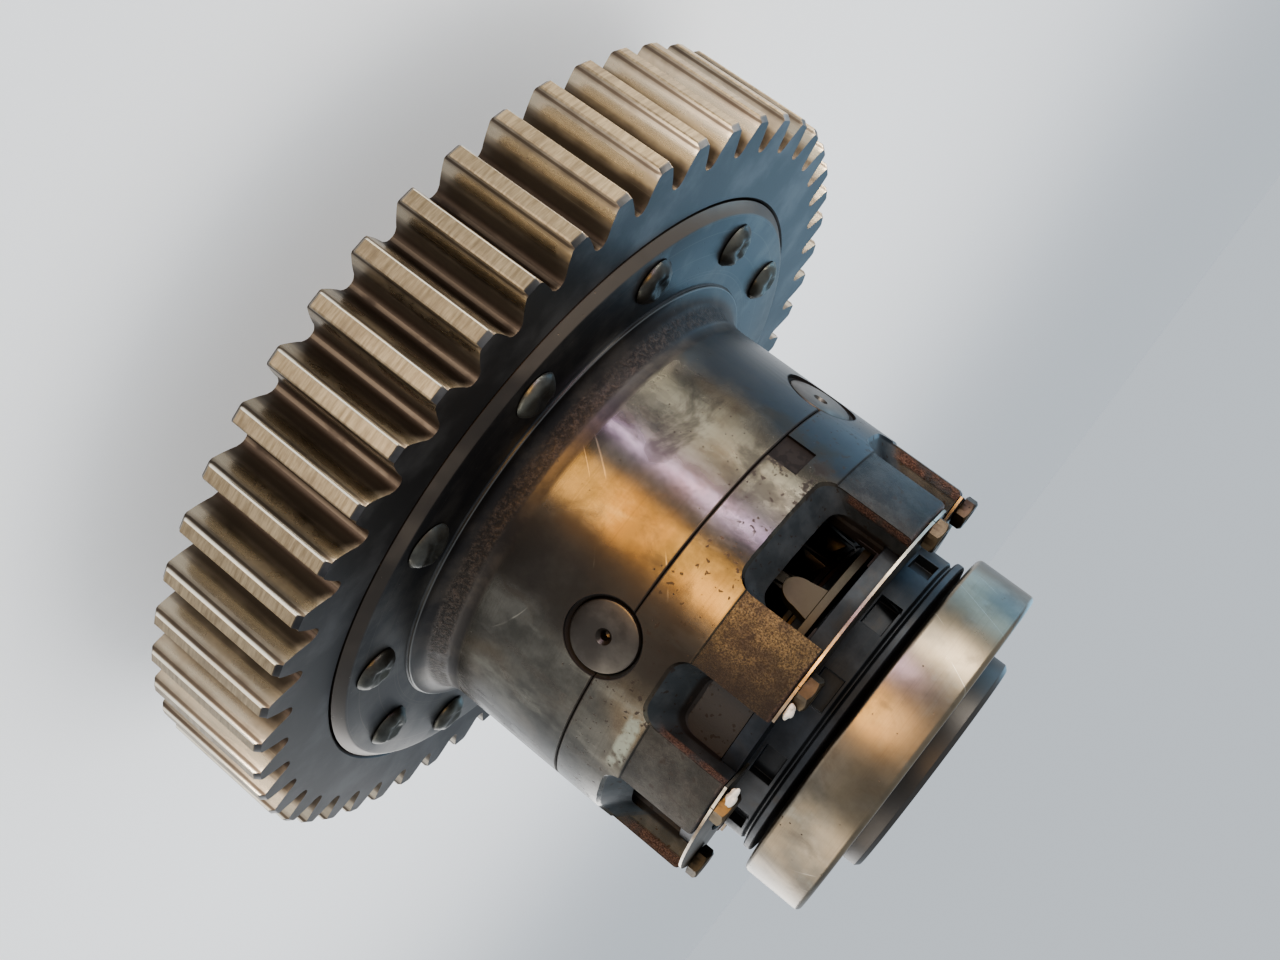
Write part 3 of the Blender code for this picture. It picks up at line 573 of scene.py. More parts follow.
def zip_rings(bm, ring_a, ring_b):
    """Triangles between two rings of unequal count, both running anticlockwise."""

    def ordered(ring):
        found = [math.atan2(v.co.y, v.co.x) % (2 * math.pi) for v in ring]
        first = min(range(len(ring)), key=lambda k: found[k])
        order = [(first + k) % len(ring) for k in range(len(ring))]
        return [ring[k] for k in order], [found[k] for k in order]

    ring_a, angle_a = ordered(ring_a)
    ring_b, angle_b = ordered(ring_b)
    a = b = 0
    while a < len(ring_a) or b < len(ring_b):
        next_a = angle_a[a + 1] if a + 1 < len(ring_a) else angle_a[0] + 2 * math.pi
        next_b = angle_b[b + 1] if b + 1 < len(ring_b) else angle_b[0] + 2 * math.pi
        take_a = b >= len(ring_b) or (a < len(ring_a) and next_a <= next_b)
        va = ring_a[a % len(ring_a)]
        vb = ring_b[b % len(ring_b)]
        if take_a:
            a += 1
            bm.faces.new((va, ring_a[a % len(ring_a)], vb))
        else:
            b += 1
            bm.faces.new((va, ring_b[b % len(ring_b)], vb))


def join_rings(bm, ring_a, ring_b):
    if len(ring_a) != len(ring_b):
        zip_rings(bm, ring_a, ring_b)
        return
    count = len(ring_a)
    for k in range(count):
        after = (k + 1) % count
        bm.faces.new((ring_a[k], ring_a[after], ring_b[after], ring_b[k]))


def rings_mesh(rings, closed=True):
    bm = bmesh.new()
    made = [[bm.verts.new(p) for p in ring] for ring in rings]
    for ring_a, ring_b in zip(made, made[1:]):
        join_rings(bm, ring_a, ring_b)
    if closed:
        join_rings(bm, made[-1], made[0])
    else:
        bm.faces.new(made[0])
        bm.faces.new(made[-1])
    return bm


def lathe(profile, closed=True, count=SEGMENTS):
    return rings_mesh([circle(r, z, count) for r, z in profile], closed)


def arc(center_r, center_z, radius, start, end, count=5):
    """Profile points on an arc between two angles in degrees, 0 pointing outward and 90 up."""
    points = []
    for k in range(count + 1):
        a = math.radians(start + (end - start) * k / count)
        points.append((center_r + radius * math.cos(a), center_z + radius * math.sin(a)))
    return points


def new_object(name, data):
    obj = bpy.data.objects.new(name, data)
    bpy.context.scene.collection.objects.link(obj)
    return obj


def make(name, bm, material=None, sharp=32, bevel=0.0, place=None):
    """Turns the bmesh, in millimetres, into an object in the part's frame."""
    bmesh.ops.recalc_face_normals(bm, faces=bm.faces)
    if place is not None:
        moved(bm, place)
    for vert in bm.verts:
        vert.co = (vert.co + Vector((0, 0, LIFT))) * MM
    mesh = bpy.data.meshes.new(name)
    bm.to_mesh(mesh)
    bm.free()
    obj = new_object(name, mesh)
    if material is not None:
        mesh.materials.append(material)
    smooth(obj, sharp)
    if bevel:
        add_bevel(obj, bevel)
    return obj


def smooth(obj, sharp=32):
    obj.data.shade_smooth()
    obj.data.set_sharp_from_angle(angle=math.radians(sharp))


def add_bevel(obj, width):
    modifier = obj.modifiers.new("edges", "BEVEL")
    modifier.width = width * MM
    modifier.segments = 2
    modifier.limit_method = "ANGLE"
    modifier.angle_limit = math.radians(32)
    modifier.use_clamp_overlap = True
    modifier.harden_normals = True


def joined(meshes):
    """One bmesh made of several separate shells."""
    whole = bmesh.new()
    for bm in meshes:
        bmesh.ops.recalc_face_normals(bm, faces=bm.faces)
        scratch = bpy.data.meshes.new("scratch")
        bm.to_mesh(scratch)
        bm.free()
        whole.from_mesh(scratch)
        bpy.data.meshes.remove(scratch)
    return whole


def boolean(obj, meshes, operation="DIFFERENCE"):
    """Cuts or unites each mesh with the object and keeps the result as its mesh."""
    helpers = [make(f"helper_{k}", bm) for k, bm in enumerate(meshes)]
    for helper in helpers:
        modifier = obj.modifiers.new("boolean", "BOOLEAN")
        modifier.operation = operation
        modifier.solver = "EXACT"
        modifier.object = helper
    graph = bpy.context.evaluated_depsgraph_get()
    mesh = bpy.data.meshes.new_from_object(obj.evaluated_get(graph))
    mesh.name = obj.name
    obj.modifiers.clear()
    obj.data = mesh
    for helper in helpers:
        bpy.data.objects.remove(helper, do_unlink=True)
    smooth(obj)


def about_z(degrees):
    return Matrix.Rotation(math.radians(degrees), 4, "Z")


def outward(degrees, z=CROSS_Z):
    """Local +Z points away from the main axis at this angle, local +X points up."""
    a = math.radians(degrees)
    away = Vector((math.cos(a), math.sin(a), 0.0))
    up = Vector((0.0, 0.0, 1.0))
    turn = Matrix((up, away.cross(up), away)).transposed().to_4x4()
    return Matrix.Translation((0.0, 0.0, z)) @ turn


def moved(bm, place):
    bmesh.ops.transform(bm, matrix=place, verts=bm.verts)
    return bm


def rod(radius, low, high, place=None, count=FINE):
    bm = lathe([(radius, low), (radius, high)], False, count)
    return moved(bm, place) if place is not None else bm


def block(size, place):
    bm = bmesh.new()
    bmesh.ops.create_cube(bm, size=1.0, matrix=place @ Matrix.Diagonal((*size, 1.0)))
    return bm


def keep(obj, body, slot, *nodes):
    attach(obj, body)
    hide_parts(*nodes)
    return obj


# ---- ring gear

def involute(angle):
    return math.tan(angle) - angle


def flank_half(radius):
    """Half a tooth's thickness in degrees at a radius, on an involute flank."""
    here = math.acos(min(1.0, BASE_R / radius))
    return PITCH_HALF + math.degrees(involute(PRESSURE) - involute(here))


def tooth_side():
    """Radius and half angle from the middle of the gap's floor up to the tooth's tip."""
    points = [(ROOT_R, 3.35), (ROOT_R + 0.35, 2.98), (ROOT_R + 1.1, 2.72)]
    low = ROOT_R + 2.3
    high = TIP_R - 0.35
    for k in range(7):
        r = low + (high - low) * k / 6
        points.append((r, flank_half(r)))
    points.append((TIP_R, flank_half(TIP_R) - 0.13))
    return points


def gear_outline(clip_r, z):
    points = []
    side = tooth_side()
    for tooth in range(TEETH):
        middle = TOOTH_TURN + tooth * 360.0 / TEETH
        for turn, flank in ((-1, side), (1, reversed(side))):
            for radius, half in flank:
                a = math.radians(middle + turn * half)
                r = min(radius, clip_r)
                points.append(polar(r, a, z))
    return points


def rivet_places():
    for k in range(RIVETS):
        yield k + 1, about_z(k * 360 / RIVETS) @ Matrix.Translation((RIVET_CIRCLE_R, 0, 0))


def rivet_holes():
    return [rod(RIVET_HOLE_R, -60, 20, place, 24) for _, place in rivet_places()]


def build_ring_gear(material):
    face_r = TIP_R - END_CHAMFER
    rings = [
        gear_outline(face_r, 0.0), gear_outline(TIP_R, -END_CHAMFER),
        gear_outline(TIP_R, GEAR_BACK_Z + END_CHAMFER), gear_outline(face_r, GEAR_BACK_Z),
        circle(RIM_INNER_R + 1.2, GEAR_BACK_Z), circle(RIM_INNER_R, GEAR_BACK_Z + 1.2),
        circle(RIM_INNER_R - 1.0, WEB_BOTTOM_Z - 3.0),
        circle(RIM_INNER_R - 4.0, WEB_BOTTOM_Z), circle(GEAR_BORE_R + 1.0, WEB_BOTTOM_Z),
        circle(GEAR_BORE_R, WEB_BOTTOM_Z + 1.0), circle(GEAR_BORE_R, WEB_TOP_Z),
        circle(RECESS_R, WEB_TOP_Z), circle(RECESS_R, -0.9), circle(RECESS_R + 0.9, 0.0),
    ]
    gear = make("ring_gear_detail", rings_mesh(rings), material)
    boolean(gear, rivet_holes())
    add_bevel(gear, 0.3)
    return keep(gear, "case", "gear_steel", "ring_gear")


def build_rivets(material):
    seat = FLANGE_TOP_Z + 0.3
    profile = [
        (0.01, seat + 2.9), (2.6, seat + 3.0), (4.3, seat + 3.55), (5.6, seat + 3.35),
        (7.2, seat + 2.5), (8.3, seat + 1.2), (8.7, seat + 0.2), (8.6, seat), (5.2, seat),
        (5.2, WEB_BOTTOM_Z - 0.3), (7.7, WEB_BOTTOM_Z - 0.3), (7.4, WEB_BOTTOM_Z - 1.4),
        (6.3, WEB_BOTTOM_Z - 2.4), (4.6, WEB_BOTTOM_Z - 3.0), (0.01, WEB_BOTTOM_Z - 3.05),
    ]
    for number, place in rivet_places():
        bm = lathe(profile, False, 32)
        for vert in bm.verts:
            if vert.co.z > seat + 0.5:  # the head, which is hammered
                wander = noise.noise(vert.co * 0.28 + Vector((number * 7.3, 0, 0)))
                vert.co.z += 0.9 * wander - 0.2
        rivet = make(f"flange_rivet_detail_{number:02d}", bm, material, 50, 0.0, place)
        keep(rivet, "case", "rivet_steel", f"flange_rivet_{number:02d}")


# ---- case halves

def bolt_places():
    for quarter in range(4):
        for angle in BOLT_ANGLES:
            yield about_z(quarter * 90 + angle) @ Matrix.Translation((BOLT_CIRCLE_R, 0, 0))


def bolt_holes(low, high):
    return joined([rod(BOLT_HOLE_R, low, high, place, 24) for place in bolt_places()])


def pin_holes():
    """Cutters for the pin holes, which open out into a worn rim at the surface."""
    low = CASE_R - 2.6
    high = CASE_R + 4.0
    widen = PIN_CHAMFER_R - PIN_HOLE_R
    rim = [(PIN_CHAMFER_R, low + widen), (PIN_CHAMFER_R, high)]
    profile = [(PIN_HOLE_R, 40), (PIN_HOLE_R, low), *rim]
    return [moved(lathe(profile, False, 64), outward(90 * k)) for k in range(4)]


def seat_arc(low_z, high_z, count):
    levels = [low_z + (high_z - low_z) * k / count for k in range(count + 1)]
    return [(math.sqrt(CAVITY_R**2 - (z - CROSS_Z) ** 2), z) for z in levels]


def build_flange_half(material):
    fillet_r = RAISED_RING_R - CASE_R
    fillet_h = FILLET_END_Z - RAISED_RING_Z
    fillet = []
    for k in range(1, 9):
        a = math.radians(k * 90 / 9)
        fillet.append((
            CASE_R + fillet_r * (1 - math.sin(a)),
            RAISED_RING_Z + fillet_h * (1 - math.cos(a)),
        ))
    top = SPLIT_Z - 0.15
    profile = [
        (AXLE_BORE_R, STUB_LOW + 1.0), (AXLE_BORE_R + 1.0, STUB_LOW),
        (JOURNAL_R - 1.4, STUB_LOW), (JOURNAL_R, STUB_LOW + 1.4), (JOURNAL_R, -56.7),
        (INNER_SHOULDER_R, -56.7), (INNER_SHOULDER_R + 0.8, -56.0), (60.0, -50.0),
        (64.0, -46.2), (82.0, -40.0), (GEAR_BORE_R - 1.2, -37.2),
        (GEAR_BORE_R - 0.35, -36.2), (GEAR_BORE_R - 0.35, WEB_TOP_Z + 0.3),
        (FLANGE_BASE_R, WEB_TOP_Z + 0.3), (FLANGE_BASE_R, 0.0),
        (FLANGE_TOP_R + 0.3, FLANGE_TOP_Z - 0.3), (FLANGE_TOP_R - 0.4, FLANGE_TOP_Z),
        (RAISED_RING_R + 0.5, FLANGE_TOP_Z), (RAISED_RING_R, FLANGE_TOP_Z + 0.4),
        (RAISED_RING_R, RAISED_RING_Z - 0.3), (RAISED_RING_R - 0.3, RAISED_RING_Z),
        *fillet,
        (CASE_R, FILLET_END_Z), (CASE_R, top - 0.35), (CASE_R - 0.35, top),
        *reversed(seat_arc(CROSS_Z - 37.5, top, 12)),
        (seat_arc(CROSS_Z - 37.5, SPLIT_Z, 1)[0][0], CROSS_Z - GEAR_SEAT_RISE),
        (GEAR_SEAT_R, CROSS_Z - GEAR_SEAT_RISE), (GEAR_SEAT_R, CROSS_Z - 51.8),
        (AXLE_BORE_R, CROSS_Z - 51.8),
    ]
    half = make("case_flange_half_detail", lathe(profile), material)
    boolean(half, [*pin_holes(), joined(rivet_holes()), bolt_holes(45, 80)])
    add_bevel(half, 0.3)
    keep(half, "case", "case_steel", "case_flange_half")


def window_cutter(middle, half, inner=CUTTER_INNER_X):
    """Rounded corners at the lower end, and an end wall that slopes inward."""
    corner = math.degrees(WINDOW_CORNER / CASE_R)
    flat = half - corner
    top = CUTTER_TOP_Z
    outline = [(-half, top)]
    for k in range(9):
        a = math.radians(90 * k / 8)
        outline.append((
            -half + corner * (1 - math.cos(a)),
            WINDOW_Z + WINDOW_CORNER * (1 - math.sin(a)),
        ))
    outline += [(-flat * 0.5, WINDOW_Z), (0.0, WINDOW_Z), (flat * 0.5, WINDOW_Z)]
    outline += [(-a, z) for a, z in reversed(outline[:10])]
    rings = []
    for depth in (CUTTER_OUTER_X, 84.4, inner):
        ring = []
        for a, z in outline:
            turn = math.radians(a)
            rise = (CASE_R - depth / math.cos(turn)) * WINDOW_RAMP
            ring.append((depth, depth * math.tan(turn), z if z == top else z + rise))
        rings.append(ring)
    return moved(rings_mesh(rings, False), about_z(middle))


def sector(profile, start, end, steps=24):
    """The profile swept about the main axis from one angle to another, with flat ends."""
    rings = []
    for k in range(steps + 1):
        a = math.radians(start + (end - start) * k / steps)
        rings.append([polar(r, a, z) for r, z in profile])
    return rings_mesh(rings, False)


def window_relief(middle):
    """The hollow behind a wide window, which leaves its end wall only a short slope."""
    low = BAR_Z - 2.6
    high = LEDGE_Z - 1.0
    inner = BAR_INNER_R - 4.0
    profile = [(inner, low), (WINDOW_RELIEF_R, low), (WINDOW_RELIEF_R, high), (inner, high)]
    return sector(profile, middle - WIDE_HALF + 0.3, middle + WIDE_HALF - 0.3)


def build_cover_half(material):
    low = SPLIT_Z + 0.15
    profile = [
        (CASE_R - 0.35, low), (CASE_R, low + 0.35), (CASE_R, BAR_Z - 0.3),
        (BAR_R, BAR_Z + 0.3), (BAR_R, CASE_END_Z - 1.5), (BAR_R - 0.4, CASE_END_Z - 0.5),
        (CASE_END_R, CASE_END_Z), (LEDGE_R, CASE_END_Z), (LEDGE_R, LEDGE_Z),
        (BAR_INNER_R, LEDGE_Z), (BAR_INNER_R, 86.0),
        *reversed(seat_arc(low, 86.0, 9)),
    ]
    half = make("case_cover_half_detail", lathe(profile), material)
    windows = []
    for k in range(4):
        narrow = 90 * k + WINDOW_TURN
        wide = 90 * k + 45 + WINDOW_TURN
        windows.append(window_cutter(narrow, NARROW_HALF, POCKET_FLOOR_X))
        windows += [window_cutter(wide, WIDE_HALF), window_relief(wide)]
    notch = about_z(-60) @ Matrix.Translation((CASE_R + 2.8, 0, SPLIT_Z + 4.5))
    boolean(half, [*windows, *pin_holes(), bolt_holes(50, 130), block(NOTCH_SIZE, notch)])
    add_bevel(half, 0.5)
    keep(half, "case", "cover_steel", "case_cover_half")


# ---- cross and bevel gears

def build_cross(material):
    profile = [
        (0.01, 13.0), (PIN_R - 1.2, 13.0), (PIN_R, 14.2), (PIN_R, PIN_OUTER_X - 0.9),
        (PIN_R - 0.3, PIN_OUTER_X - 0.3), (PIN_R - 0.9, PIN_OUTER_X), (2.9, PIN_OUTER_X),
        (1.7, PIN_OUTER_X - 1.4), (1.5, PIN_OUTER_X - 5.0), (0.01, PIN_OUTER_X - 5.8),
    ]
    for k in range(4):
        bm = lathe(profile, False, 64)
        pin = make(f"cross_pin_detail_{k + 1}", bm, material, place=outward(90 * k))
        keep(pin, "case", "pin_steel", f"cross_pin_{k + 1}")
    half = 16.0
    profile = [
        (0.01, CROSS_Z - half), (18.5, CROSS_Z - half), (20.0, CROSS_Z - half + 1.5),
        (20.0, CROSS_Z + half - 1.5), (18.5, CROSS_Z + half), (0.01, CROSS_Z + half),
    ]
    center = make("cross_block_detail", lathe(profile, False, 64), material)
    boolean(center, [rod(PIN_R + 0.3, -30, 30, outward(90 * k), 64) for k in range(2)])
    add_bevel(center, 0.4)
    keep(center, "case", "pin_steel", "cross_block")


CONE_OUTER = 56.0
CONE_INNER = 38.0
PLANET_TEETH = 10
SIDE_TEETH = 16
PLANET_ANGLE = math.atan2(PLANET_TEETH, SIDE_TEETH)
SIDE_ANGLE = math.pi / 2 - PLANET_ANGLE
ADDENDUM = 4.6
DEDENDUM = 6.5
THINNING = 0.62
PLANET_BACK_R = 63.9


def bevel_outline(teeth, cone_angle, scale, gap_first):
    """Tooth outline square to the pitch cone, at a share of the outer cone distance."""
    pitch_r = CONE_OUTER * math.sin(cone_angle)
    developed = CONE_OUTER * math.tan(cone_angle)
    base = developed * math.cos(PRESSURE)
    half_pitch = 2 * pitch_r / teeth * math.pi / 4 / developed
    half_root = half_pitch + involute(PRESSURE)
    thin = THINNING / developed
    flank = []
    for k in range(8):
        offset = -DEDENDUM + (ADDENDUM + DEDENDUM) * k / 7
        here = math.acos(min(1.0, base / (developed + offset)))
        flank.append((offset, half_root - involute(here) - thin))
    points = []
    step = 2 * math.pi / teeth
    for tooth in range(teeth):
        middle = (tooth + (0.5 if gap_first else 0.0)) * step
        for side in (-1, 1):
            for offset, half in flank if side < 0 else reversed(flank):
                a = middle + side * half / math.cos(cone_angle)
                r = scale * (pitch_r + offset * math.cos(cone_angle))
                x = scale * (CONE_OUTER * math.cos(cone_angle) - offset * math.sin(cone_angle))
                points.append(polar(r, a, x))
    return points


def back_x(radius, sphere=PLANET_BACK_R):
    return math.sqrt(sphere**2 - radius**2)


def build_planets(gear_material, washer_material):
    toe = CONE_INNER / CONE_OUTER
    for k in range(4):
        place = outward(90 * k)
        back = [circle(r, back_x(r), FINE) for r in (24.5, 22.0, 19.0, 16.0, 13.0)]
        rings = [
            bevel_outline(PLANET_TEETH, PLANET_ANGLE, toe, True),
            bevel_outline(PLANET_TEETH, PLANET_ANGLE, 1.0, True),
            *back,
            circle(13.0, 35.0, FINE),
        ]
        bm = rings_mesh(rings)
        planet = make(f"planet_pinion_detail_{k + 1}", bm, gear_material, 32, 0.25, place)
        keep(planet, f"planet_{k + 1}", "planet_steel", f"planet_pinion_{k + 1}")
        radii = (13.3, 16.0, 19.0, 22.0, 24.0)
        inner = [(r, back_x(r, PLANET_BACK_R + 0.3)) for r in radii]
        outer = [(r, back_x(r, 65.6)) for r in radii]
        washer = lathe([*inner, *reversed(outer)], True, FINE)
        washer = make(f"planet_washer_detail_{k + 1}", washer, washer_material, place=place)
        keep(washer, "case", "washer_bronze", f"planet_washer_{k + 1}")


def spline_ring(z, teeth=24, inner=22.0, outer=24.0):
    tooth_side = ((-5.6, outer), (-3.4, inner), (0.0, inner), (3.4, inner), (5.6, outer))
    return [
        polar(radius, math.radians(tooth * 360.0 / teeth + part), z)
        for tooth in range(teeth)
        for part, radius in tooth_side
    ]


def build_side_gears(gear_material, washer_material):
    toe = CONE_INNER / CONE_OUTER
    upright = Matrix.Translation((0, 0, CROSS_Z))
    turned = upright @ Matrix.Rotation(math.pi, 4, "X")
    for name, body, place in (
        ("upper", "side_gear_above", upright), ("lower", "side_gear_below", turned),
    ):
        rings = [
            bevel_outline(SIDE_TEETH, SIDE_ANGLE, toe, False),
            bevel_outline(SIDE_TEETH, SIDE_ANGLE, 1.0, False), circle(48.0, 38.0, 96),
            circle(48.0, 40.0, 96), circle(37.9, 40.0, 96), circle(37.9, 49.6, 96),
            circle(37.0, 50.5, 96), circle(25.0, 50.5, 96), spline_ring(49.5),
            spline_ring(21.0), circle(26.5, 20.5, 96),
        ]
        gear = make(f"side_gear_detail_{name}", rings_mesh(rings), gear_material, 32, 0.2, place)
        keep(gear, body, "side_gear_steel", f"side_gear_{name}")
        profile = [(38.8, 40.3), (47.4, 40.3), (47.4, 41.7), (38.8, 41.7)]
        bm = lathe(profile)
        washer = make(f"side_washer_detail_{name}", bm, washer_material, 32, 0.15, place)
        keep(washer, "case", "washer_bronze", f"side_washer_{name}")


# ---- lock plate, hub, keeper, bolts

def finger(middle):
    """A rounded finger that overlaps the lock plate at its upper end."""
    half = 5.2
    end = LOCK_LOW + 2.5
    outline = []
    for k in range(17):
        a = math.radians(180 + 180 * k / 16)
        outline.append((half * math.cos(a), end + 1.4 * half + 1.4 * half * math.sin(a)))
    outline += [(half + 1.5, LOCK_HIGH - 1.5), (-half - 1.5, LOCK_HIGH - 1.5)]
    rings = [[(radius, y, z) for y, z in outline] for radius in (60.6, 66.8)]
    return moved(rings_mesh(rings, False), about_z(middle))


def build_lock_plate(material):
    low = LOCK_HIGH - 3.0
    profile = [(54.1, low), (67.6, low), (67.6, LOCK_HIGH), (54.1, LOCK_HIGH)]
    plate = make("lock_plate_detail", lathe(profile), material)
    boolean(plate, [finger(FINGER_TURN + 90 * k) for k in range(4)], "UNION")
    add_bevel(plate, 0.5)
    keep(plate, "lock_ring", "lock_plate_steel", "lock_plate")


def build_hub(material):
    bearing = UPPER_BEARING_LOW - 0.3
    profile = [
        (GEAR_SEAT_R, CROSS_Z + GEAR_SEAT_RISE), (49.9, CROSS_Z + GEAR_SEAT_RISE),
        (49.9, HUB_JOINT_Z), (HUB_JOINT_R, HUB_JOINT_Z), (HUB_JOINT_R, CASE_END_Z),
        (NECK_R, CASE_END_Z), (NECK_R, 130.2), (60.9, 131.2), (60.9, 131.9),
        (COLLAR_R - 0.5, 132.3), (COLLAR_R, 132.8), (COLLAR_R, 134.9),
        (COLLAR_R - 0.6, 135.5), (INNER_SHOULDER_R + 0.5, bearing), (JOURNAL_R, bearing),
        (JOURNAL_R, HUB_HIGH - 1.5), (JOURNAL_R - 1.5, HUB_HIGH),
        (AXLE_BORE_R + 1.2, HUB_HIGH), (AXLE_BORE_R, HUB_HIGH - 1.2),
        (AXLE_BORE_R, HUB_JOINT_Z - 0.5), (GEAR_SEAT_R, HUB_JOINT_Z - 0.5),
    ]
    hub = make("end_hub_detail", lathe(profile), material)
    width = 2 * NECK_R * math.sin(math.radians(6))
    slots = []
    for k in range(NECK_SLOTS):
        reach = Matrix.Translation((NECK_R + 2.0, 0, 125.0))
        slots.append(block((12.0, width, 8.0), about_z(k * 30 - 20) @ reach))
    boolean(hub, [joined(slots)])
    add_bevel(hub, 0.4)
    return keep(hub, "case", "hub_steel", "end_hub")


def hex_ring(flats, z, cap_r, drop, count=72):
    """A hexagon's outline, whose corners are lowered where they stand out of the cap circle."""
    points = []
    for k in range(count):
        a = 2 * math.pi * k / count
        within = (a + math.pi / 6) % (math.pi / 3) - math.pi / 6
        r = flats / 2 / math.cos(within)
        points.append(polar(r, a, z - max(0.0, r - cap_r) * drop))
    return points


def build_keepers(material):
    outer = CASE_END_R - 0.1
    profile = [(66.6, KEEPER_LOW), (outer, KEEPER_LOW), (outer, KEEPER_HIGH), (66.6, KEEPER_HIGH)]
    for k in range(4):
        bm = sector(profile, 90 * k + KEEPER_START, 90 * k + KEEPER_END)
        keeper = make(f"keeper_plate_detail_{k + 1}", bm, material)
        boolean(keeper, [bolt_holes(110, 130)])
        add_bevel(keeper, 0.2)
        keep(keeper, "case", "keeper_steel", f"keeper_plate_{k + 1}")


def build_paint(material):
    """Two dabs of assembly paint beside the narrow pocket."""
    for number, (angle, radius, height, size) in enumerate(PAINT_DABS, 1):
        place = about_z(angle) @ Matrix.Translation((radius, 0, height))
        bm = bmesh.new()
        shape = place @ Matrix.Diagonal((0.8, 1.3, 0.6, 1.0))
        bmesh.ops.create_icosphere(bm, subdivisions=4, radius=size, matrix=shape)
        for vert in bm.verts:
            lump = noise.noise(vert.co * 0.45)
            vert.co += (vert.co - place.translation) * 0.55 * lump
        dab = make(f"paint_dab_{number}", bm, material, 60)
        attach(dab, "case")


def build_bolts(material):
    seat = KEEPER_HIGH + 0.3
    top = seat + BOLT_HEAD_H
    flats = BOLT_FLATS - 0.4
    cap_r = flats / 2 - 0.25
    for number, place in enumerate(bolt_places(), 1):
        rings = [
            circle(0.05, top - 0.5, 72), circle(2.6, top - 0.5, 72), circle(3.2, top, 72),
            circle(cap_r, top, 72), hex_ring(flats, top - 0.15, cap_r, 0.75),
            hex_ring(flats, seat + 0.3, 99.0, 0.0), circle(flats / 2 - 0.1, seat, 72),
            circle(3.8, seat, 72), circle(3.8, 46.6, 72),
        ]
        bm = rings_mesh(rings, False)
        tilted = place @ about_z(13 * number % 60)
        bolt = make(f"case_bolt_detail_{number}", bm, material, place=tilted)
        keep(bolt, "case", "bolt_steel", f"case_bolt_{number}")


# ---- bearings

def build_bearing(name, low, race_material, cage_material, ball_material):
    width = UPPER_BEARING_HIGH - UPPER_BEARING_LOW
    high = low + width
    middle = (low + high) / 2
    outer_r = box_mm(f"{name}_bearing_outer")[1].x - 0.02
    soft = 2.0
    outer = [
        *arc(outer_r - soft, low + soft, soft, -90, 0, 5),
        *arc(outer_r - soft, high - soft, soft, 0, 90, 5),
        (OUTER_SHOULDER_R + 0.6, high), (OUTER_SHOULDER_R, high - 0.6),
        *arc(BALL_CIRCLE_R, middle, BALL_GROOVE_R, 41, -41, 8),
        (OUTER_SHOULDER_R, low + 0.6), (OUTER_SHOULDER_R + 0.6, low),
    ]
    outer_race = make(f"{name}_bearing_outer_detail", lathe(outer), race_material)
    keep(outer_race, f"{name}_outer_ring", "race_steel", f"{name}_bearing_outer")
    inner = [
        (46.2, low), (45.05, low + 1.2), (45.05, high - 1.2), (46.2, high),
        (INNER_SHOULDER_R - 0.6, high), (INNER_SHOULDER_R, high - 0.6),
        *arc(BALL_CIRCLE_R, middle, BALL_GROOVE_R, 131, 229, 8),
        (INNER_SHOULDER_R, low + 0.6), (INNER_SHOULDER_R - 0.6, low),
    ]
    inner_race = make(f"{name}_bearing_inner_detail", lathe(inner), race_material)
    keep(inner_race, "case", "race_steel", f"{name}_bearing_inner")
    band = [
        (BALL_CIRCLE_R - 1.4, middle - 8.0), (BALL_CIRCLE_R - 1.4, middle + 8.0),
        (BALL_CIRCLE_R + 1.4, middle + 8.0), (BALL_CIRCLE_R + 1.4, middle - 8.0),
    ]
    cage = make(f"{name}_bearing_cage_detail", lathe(band), cage_material)
    reach = Matrix.Translation((BALL_CIRCLE_R, 0, middle))
    pockets = []
    balls = []
    for k in range(BALLS):
        place = about_z((k + 0.5) * 360 / BALLS) @ reach
        across = place @ Matrix.Rotation(math.pi / 2, 4, "Y")
        pockets.append(rod(BALL_R + 0.3, -10, 10, across, 32))
        ball = bmesh.new()
        bmesh.ops.create_uvsphere(ball, u_segments=32, v_segments=20, radius=BALL_R, matrix=place)
        balls.append(ball)
    boolean(cage, [joined(pockets)])
    add_bevel(cage, 0.3)
    keep(cage, f"{name}_ball_set", "cage_brass", f"{name}_bearing_balls")
    spheres = make(f"{name}_bearing_balls_detail", joined(balls), ball_material, 60)
    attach(spheres, f"{name}_ball_set")


# ---- stage

def build_stage():
    bm = bmesh.new()
    bmesh.ops.create_circle(bm, cap_ends=True, segments=96, radius=9.0)
    mesh = bpy.data.meshes.new("studio_floor")
    bm.to_mesh(mesh)
    bm.free()
    floor = new_object("studio_floor", mesh)
    floor.location.z = -0.3 * MM
    material = bpy.data.materials.new("floor_white")
    material.use_nodes = True
    shader = material.node_tree.nodes["Principled BSDF"]
    shader.inputs["Base Color"].default_value = (0.95, 0.955, 0.965, 1.0)
    shader.inputs["Roughness"].default_value = 0.7
    mesh.materials.append(material)
    return floor


def flag(lamp, objects, state="EXCLUDE"):
    """Keeps the lamp off some objects, or with INCLUDE on them alone."""
    group = bpy.data.collections.new(f"{lamp.name}_flags")
    for obj in objects:
        group.objects.link(obj)
    for entry in group.collection_objects:
        entry.light_linking.link_state = state
    lamp.light_linking.receiver_collection = group


def softbox(name, azimuth, elevation, distance, size, power, color, height=0.14):
    """An area light that faces the main axis at the given height."""
    light = bpy.data.lights.new(name, "AREA")
    light.shape = "RECTANGLE"
    light.size = size[0]
    light.size_y = size[1]
    light.energy = power
    light.color = color
    lamp = new_object(name, light)
    a = math.radians(azimuth)
    e = math.radians(elevation)
    away = Vector((math.cos(a) * math.cos(e), math.sin(a) * math.cos(e), math.sin(e)))
    target = Vector((0.0, 0.0, height))
    lamp.location = target + away * distance
    lamp.rotation_euler = away.to_track_quat("Z", "Y").to_euler()
    lamp.visible_camera = False
    return lamp


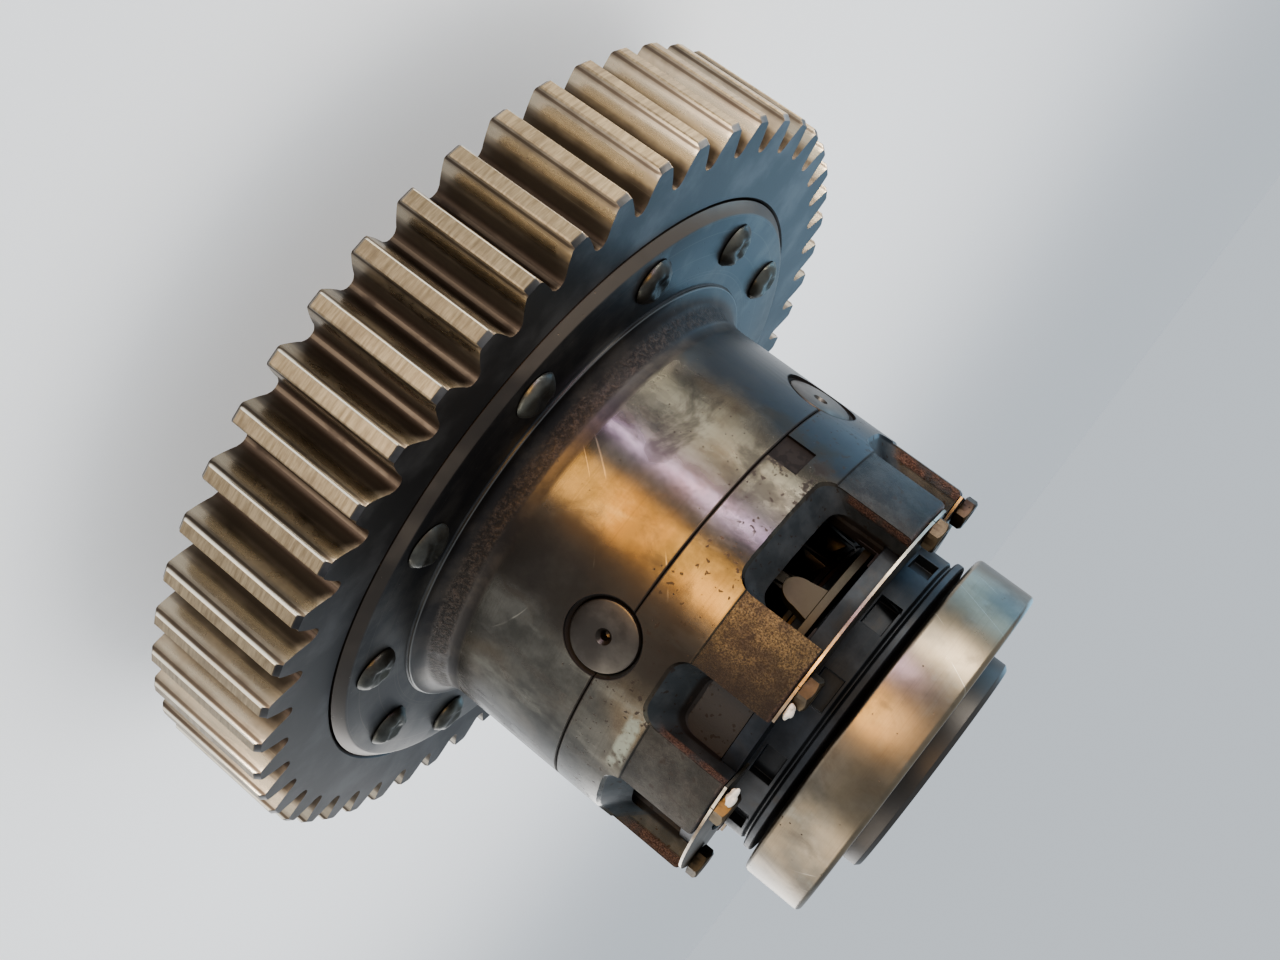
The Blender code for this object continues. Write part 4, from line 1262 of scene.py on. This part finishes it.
def build_lights(floor, gear, hub):
    soft = [
        softbox("overhead_key", -78, 3, 1.1, (0.36, 0.5), 5.4, (1.0, 0.96, 0.86)),
        softbox("warm_fill", -26, 0, 1.2, (0.4, 0.34), 2.2, (1.0, 0.66, 0.34)),
        softbox("table_bounce", 62, 5, 1.3, (1.2, 0.6), 5.6, (1.0, 0.93, 0.82)),
        softbox("wall_bounce", -128, 2, 1.0, (0.8, 0.7), 2.9, (0.26, 0.6, 0.92)),
        softbox("blue_back", 182, 20, 1.6, (0.7, 0.5), 1.6, (0.26, 0.66, 1.0)),
        softbox("far_side", 118, 0, 1.2, (0.9, 0.4), 3.0, (1.0, 0.98, 0.95)),
    ]
    for lamp in soft:
        flag(lamp, [floor])
    for lamp in (
        softbox("tooth_key", -100, 8, 1.1, (0.7, 0.5), 74.0, (1.0, 0.9, 0.74)),
        softbox("tooth_fill", -8, 2, 1.1, (0.7, 0.4), 28.0, (1.0, 0.88, 0.75)),
    ):
        flag(lamp, [gear], "INCLUDE")
    for lamp in (
        softbox("warm_lamp", -26, 0, 0.43, (0.17, 0.2), 0.72, (1.0, 0.5, 0.07), 0.105),
        softbox("violet_strip", -54, 0, 0.43, (0.012, 0.2), 0.29, (0.84, 0.62, 1.0), 0.105),
    ):
        flag(lamp, [floor, gear, hub])
    floor_glow = softbox("floor_glow", 158, 76, 1.1, (0.9, 0.9), 5.0, (1.0, 0.99, 0.97))
    floor_fill = softbox("floor_fill", 158, 76, 1.1, (0.9, 0.9), 7.6, (1.0, 0.99, 0.97))
    floor_fill.data.use_shadow = False
    for lamp in (floor_glow, floor_fill):
        flag(lamp, [floor], "INCLUDE")
    world = bpy.data.worlds.new("studio")
    world.use_nodes = True
    background = world.node_tree.nodes["Background"]
    background.inputs["Color"].default_value = (0.81, 0.88, 0.95, 1.0)
    background.inputs["Strength"].default_value = 0.62
    scene = bpy.context.scene
    scene.world = world
    scene.view_settings.look = "AgX - Medium High Contrast"
    scene.view_settings.exposure = 0.15


def build_camera():
    camera = bpy.data.cameras.new("camera")
    camera.lens = 40.51
    camera.sensor_width = 36.0
    camera.clip_start = 0.01
    holder = new_object("camera", camera)
    holder.location = (0.4954, -0.1995, 0.2426)
    holder.rotation_euler = [math.radians(turn) for turn in (-67.17, -50.46, -127.97)]
    bpy.context.scene.camera = holder


def main():
    bronze = metal("washer_bronze")
    gear = build_ring_gear(gear_finish())
    build_rivets(metal("rivet_steel"))
    build_flange_half(flange_half_finish())
    build_cover_half(cover_half_finish())
    build_cross(metal("pin_steel"))
    build_planets(metal("planet_steel"), bronze)
    build_side_gears(metal("side_gear_steel"), bronze)
    build_lock_plate(metal("lock_plate_steel"))
    hub = build_hub(hub_finish())
    build_keepers(keeper_finish())
    build_paint(paint_finish())
    build_bolts(metal("bolt_steel"))
    bearing_materials = race_finish(), metal("cage_brass"), ball_finish()
    build_bearing("upper", UPPER_BEARING_LOW, *bearing_materials)
    build_bearing("lower", LOWER_BEARING_LOW, *bearing_materials)
    floor = build_stage()
    build_lights(floor, gear, hub)
    build_camera()


main()
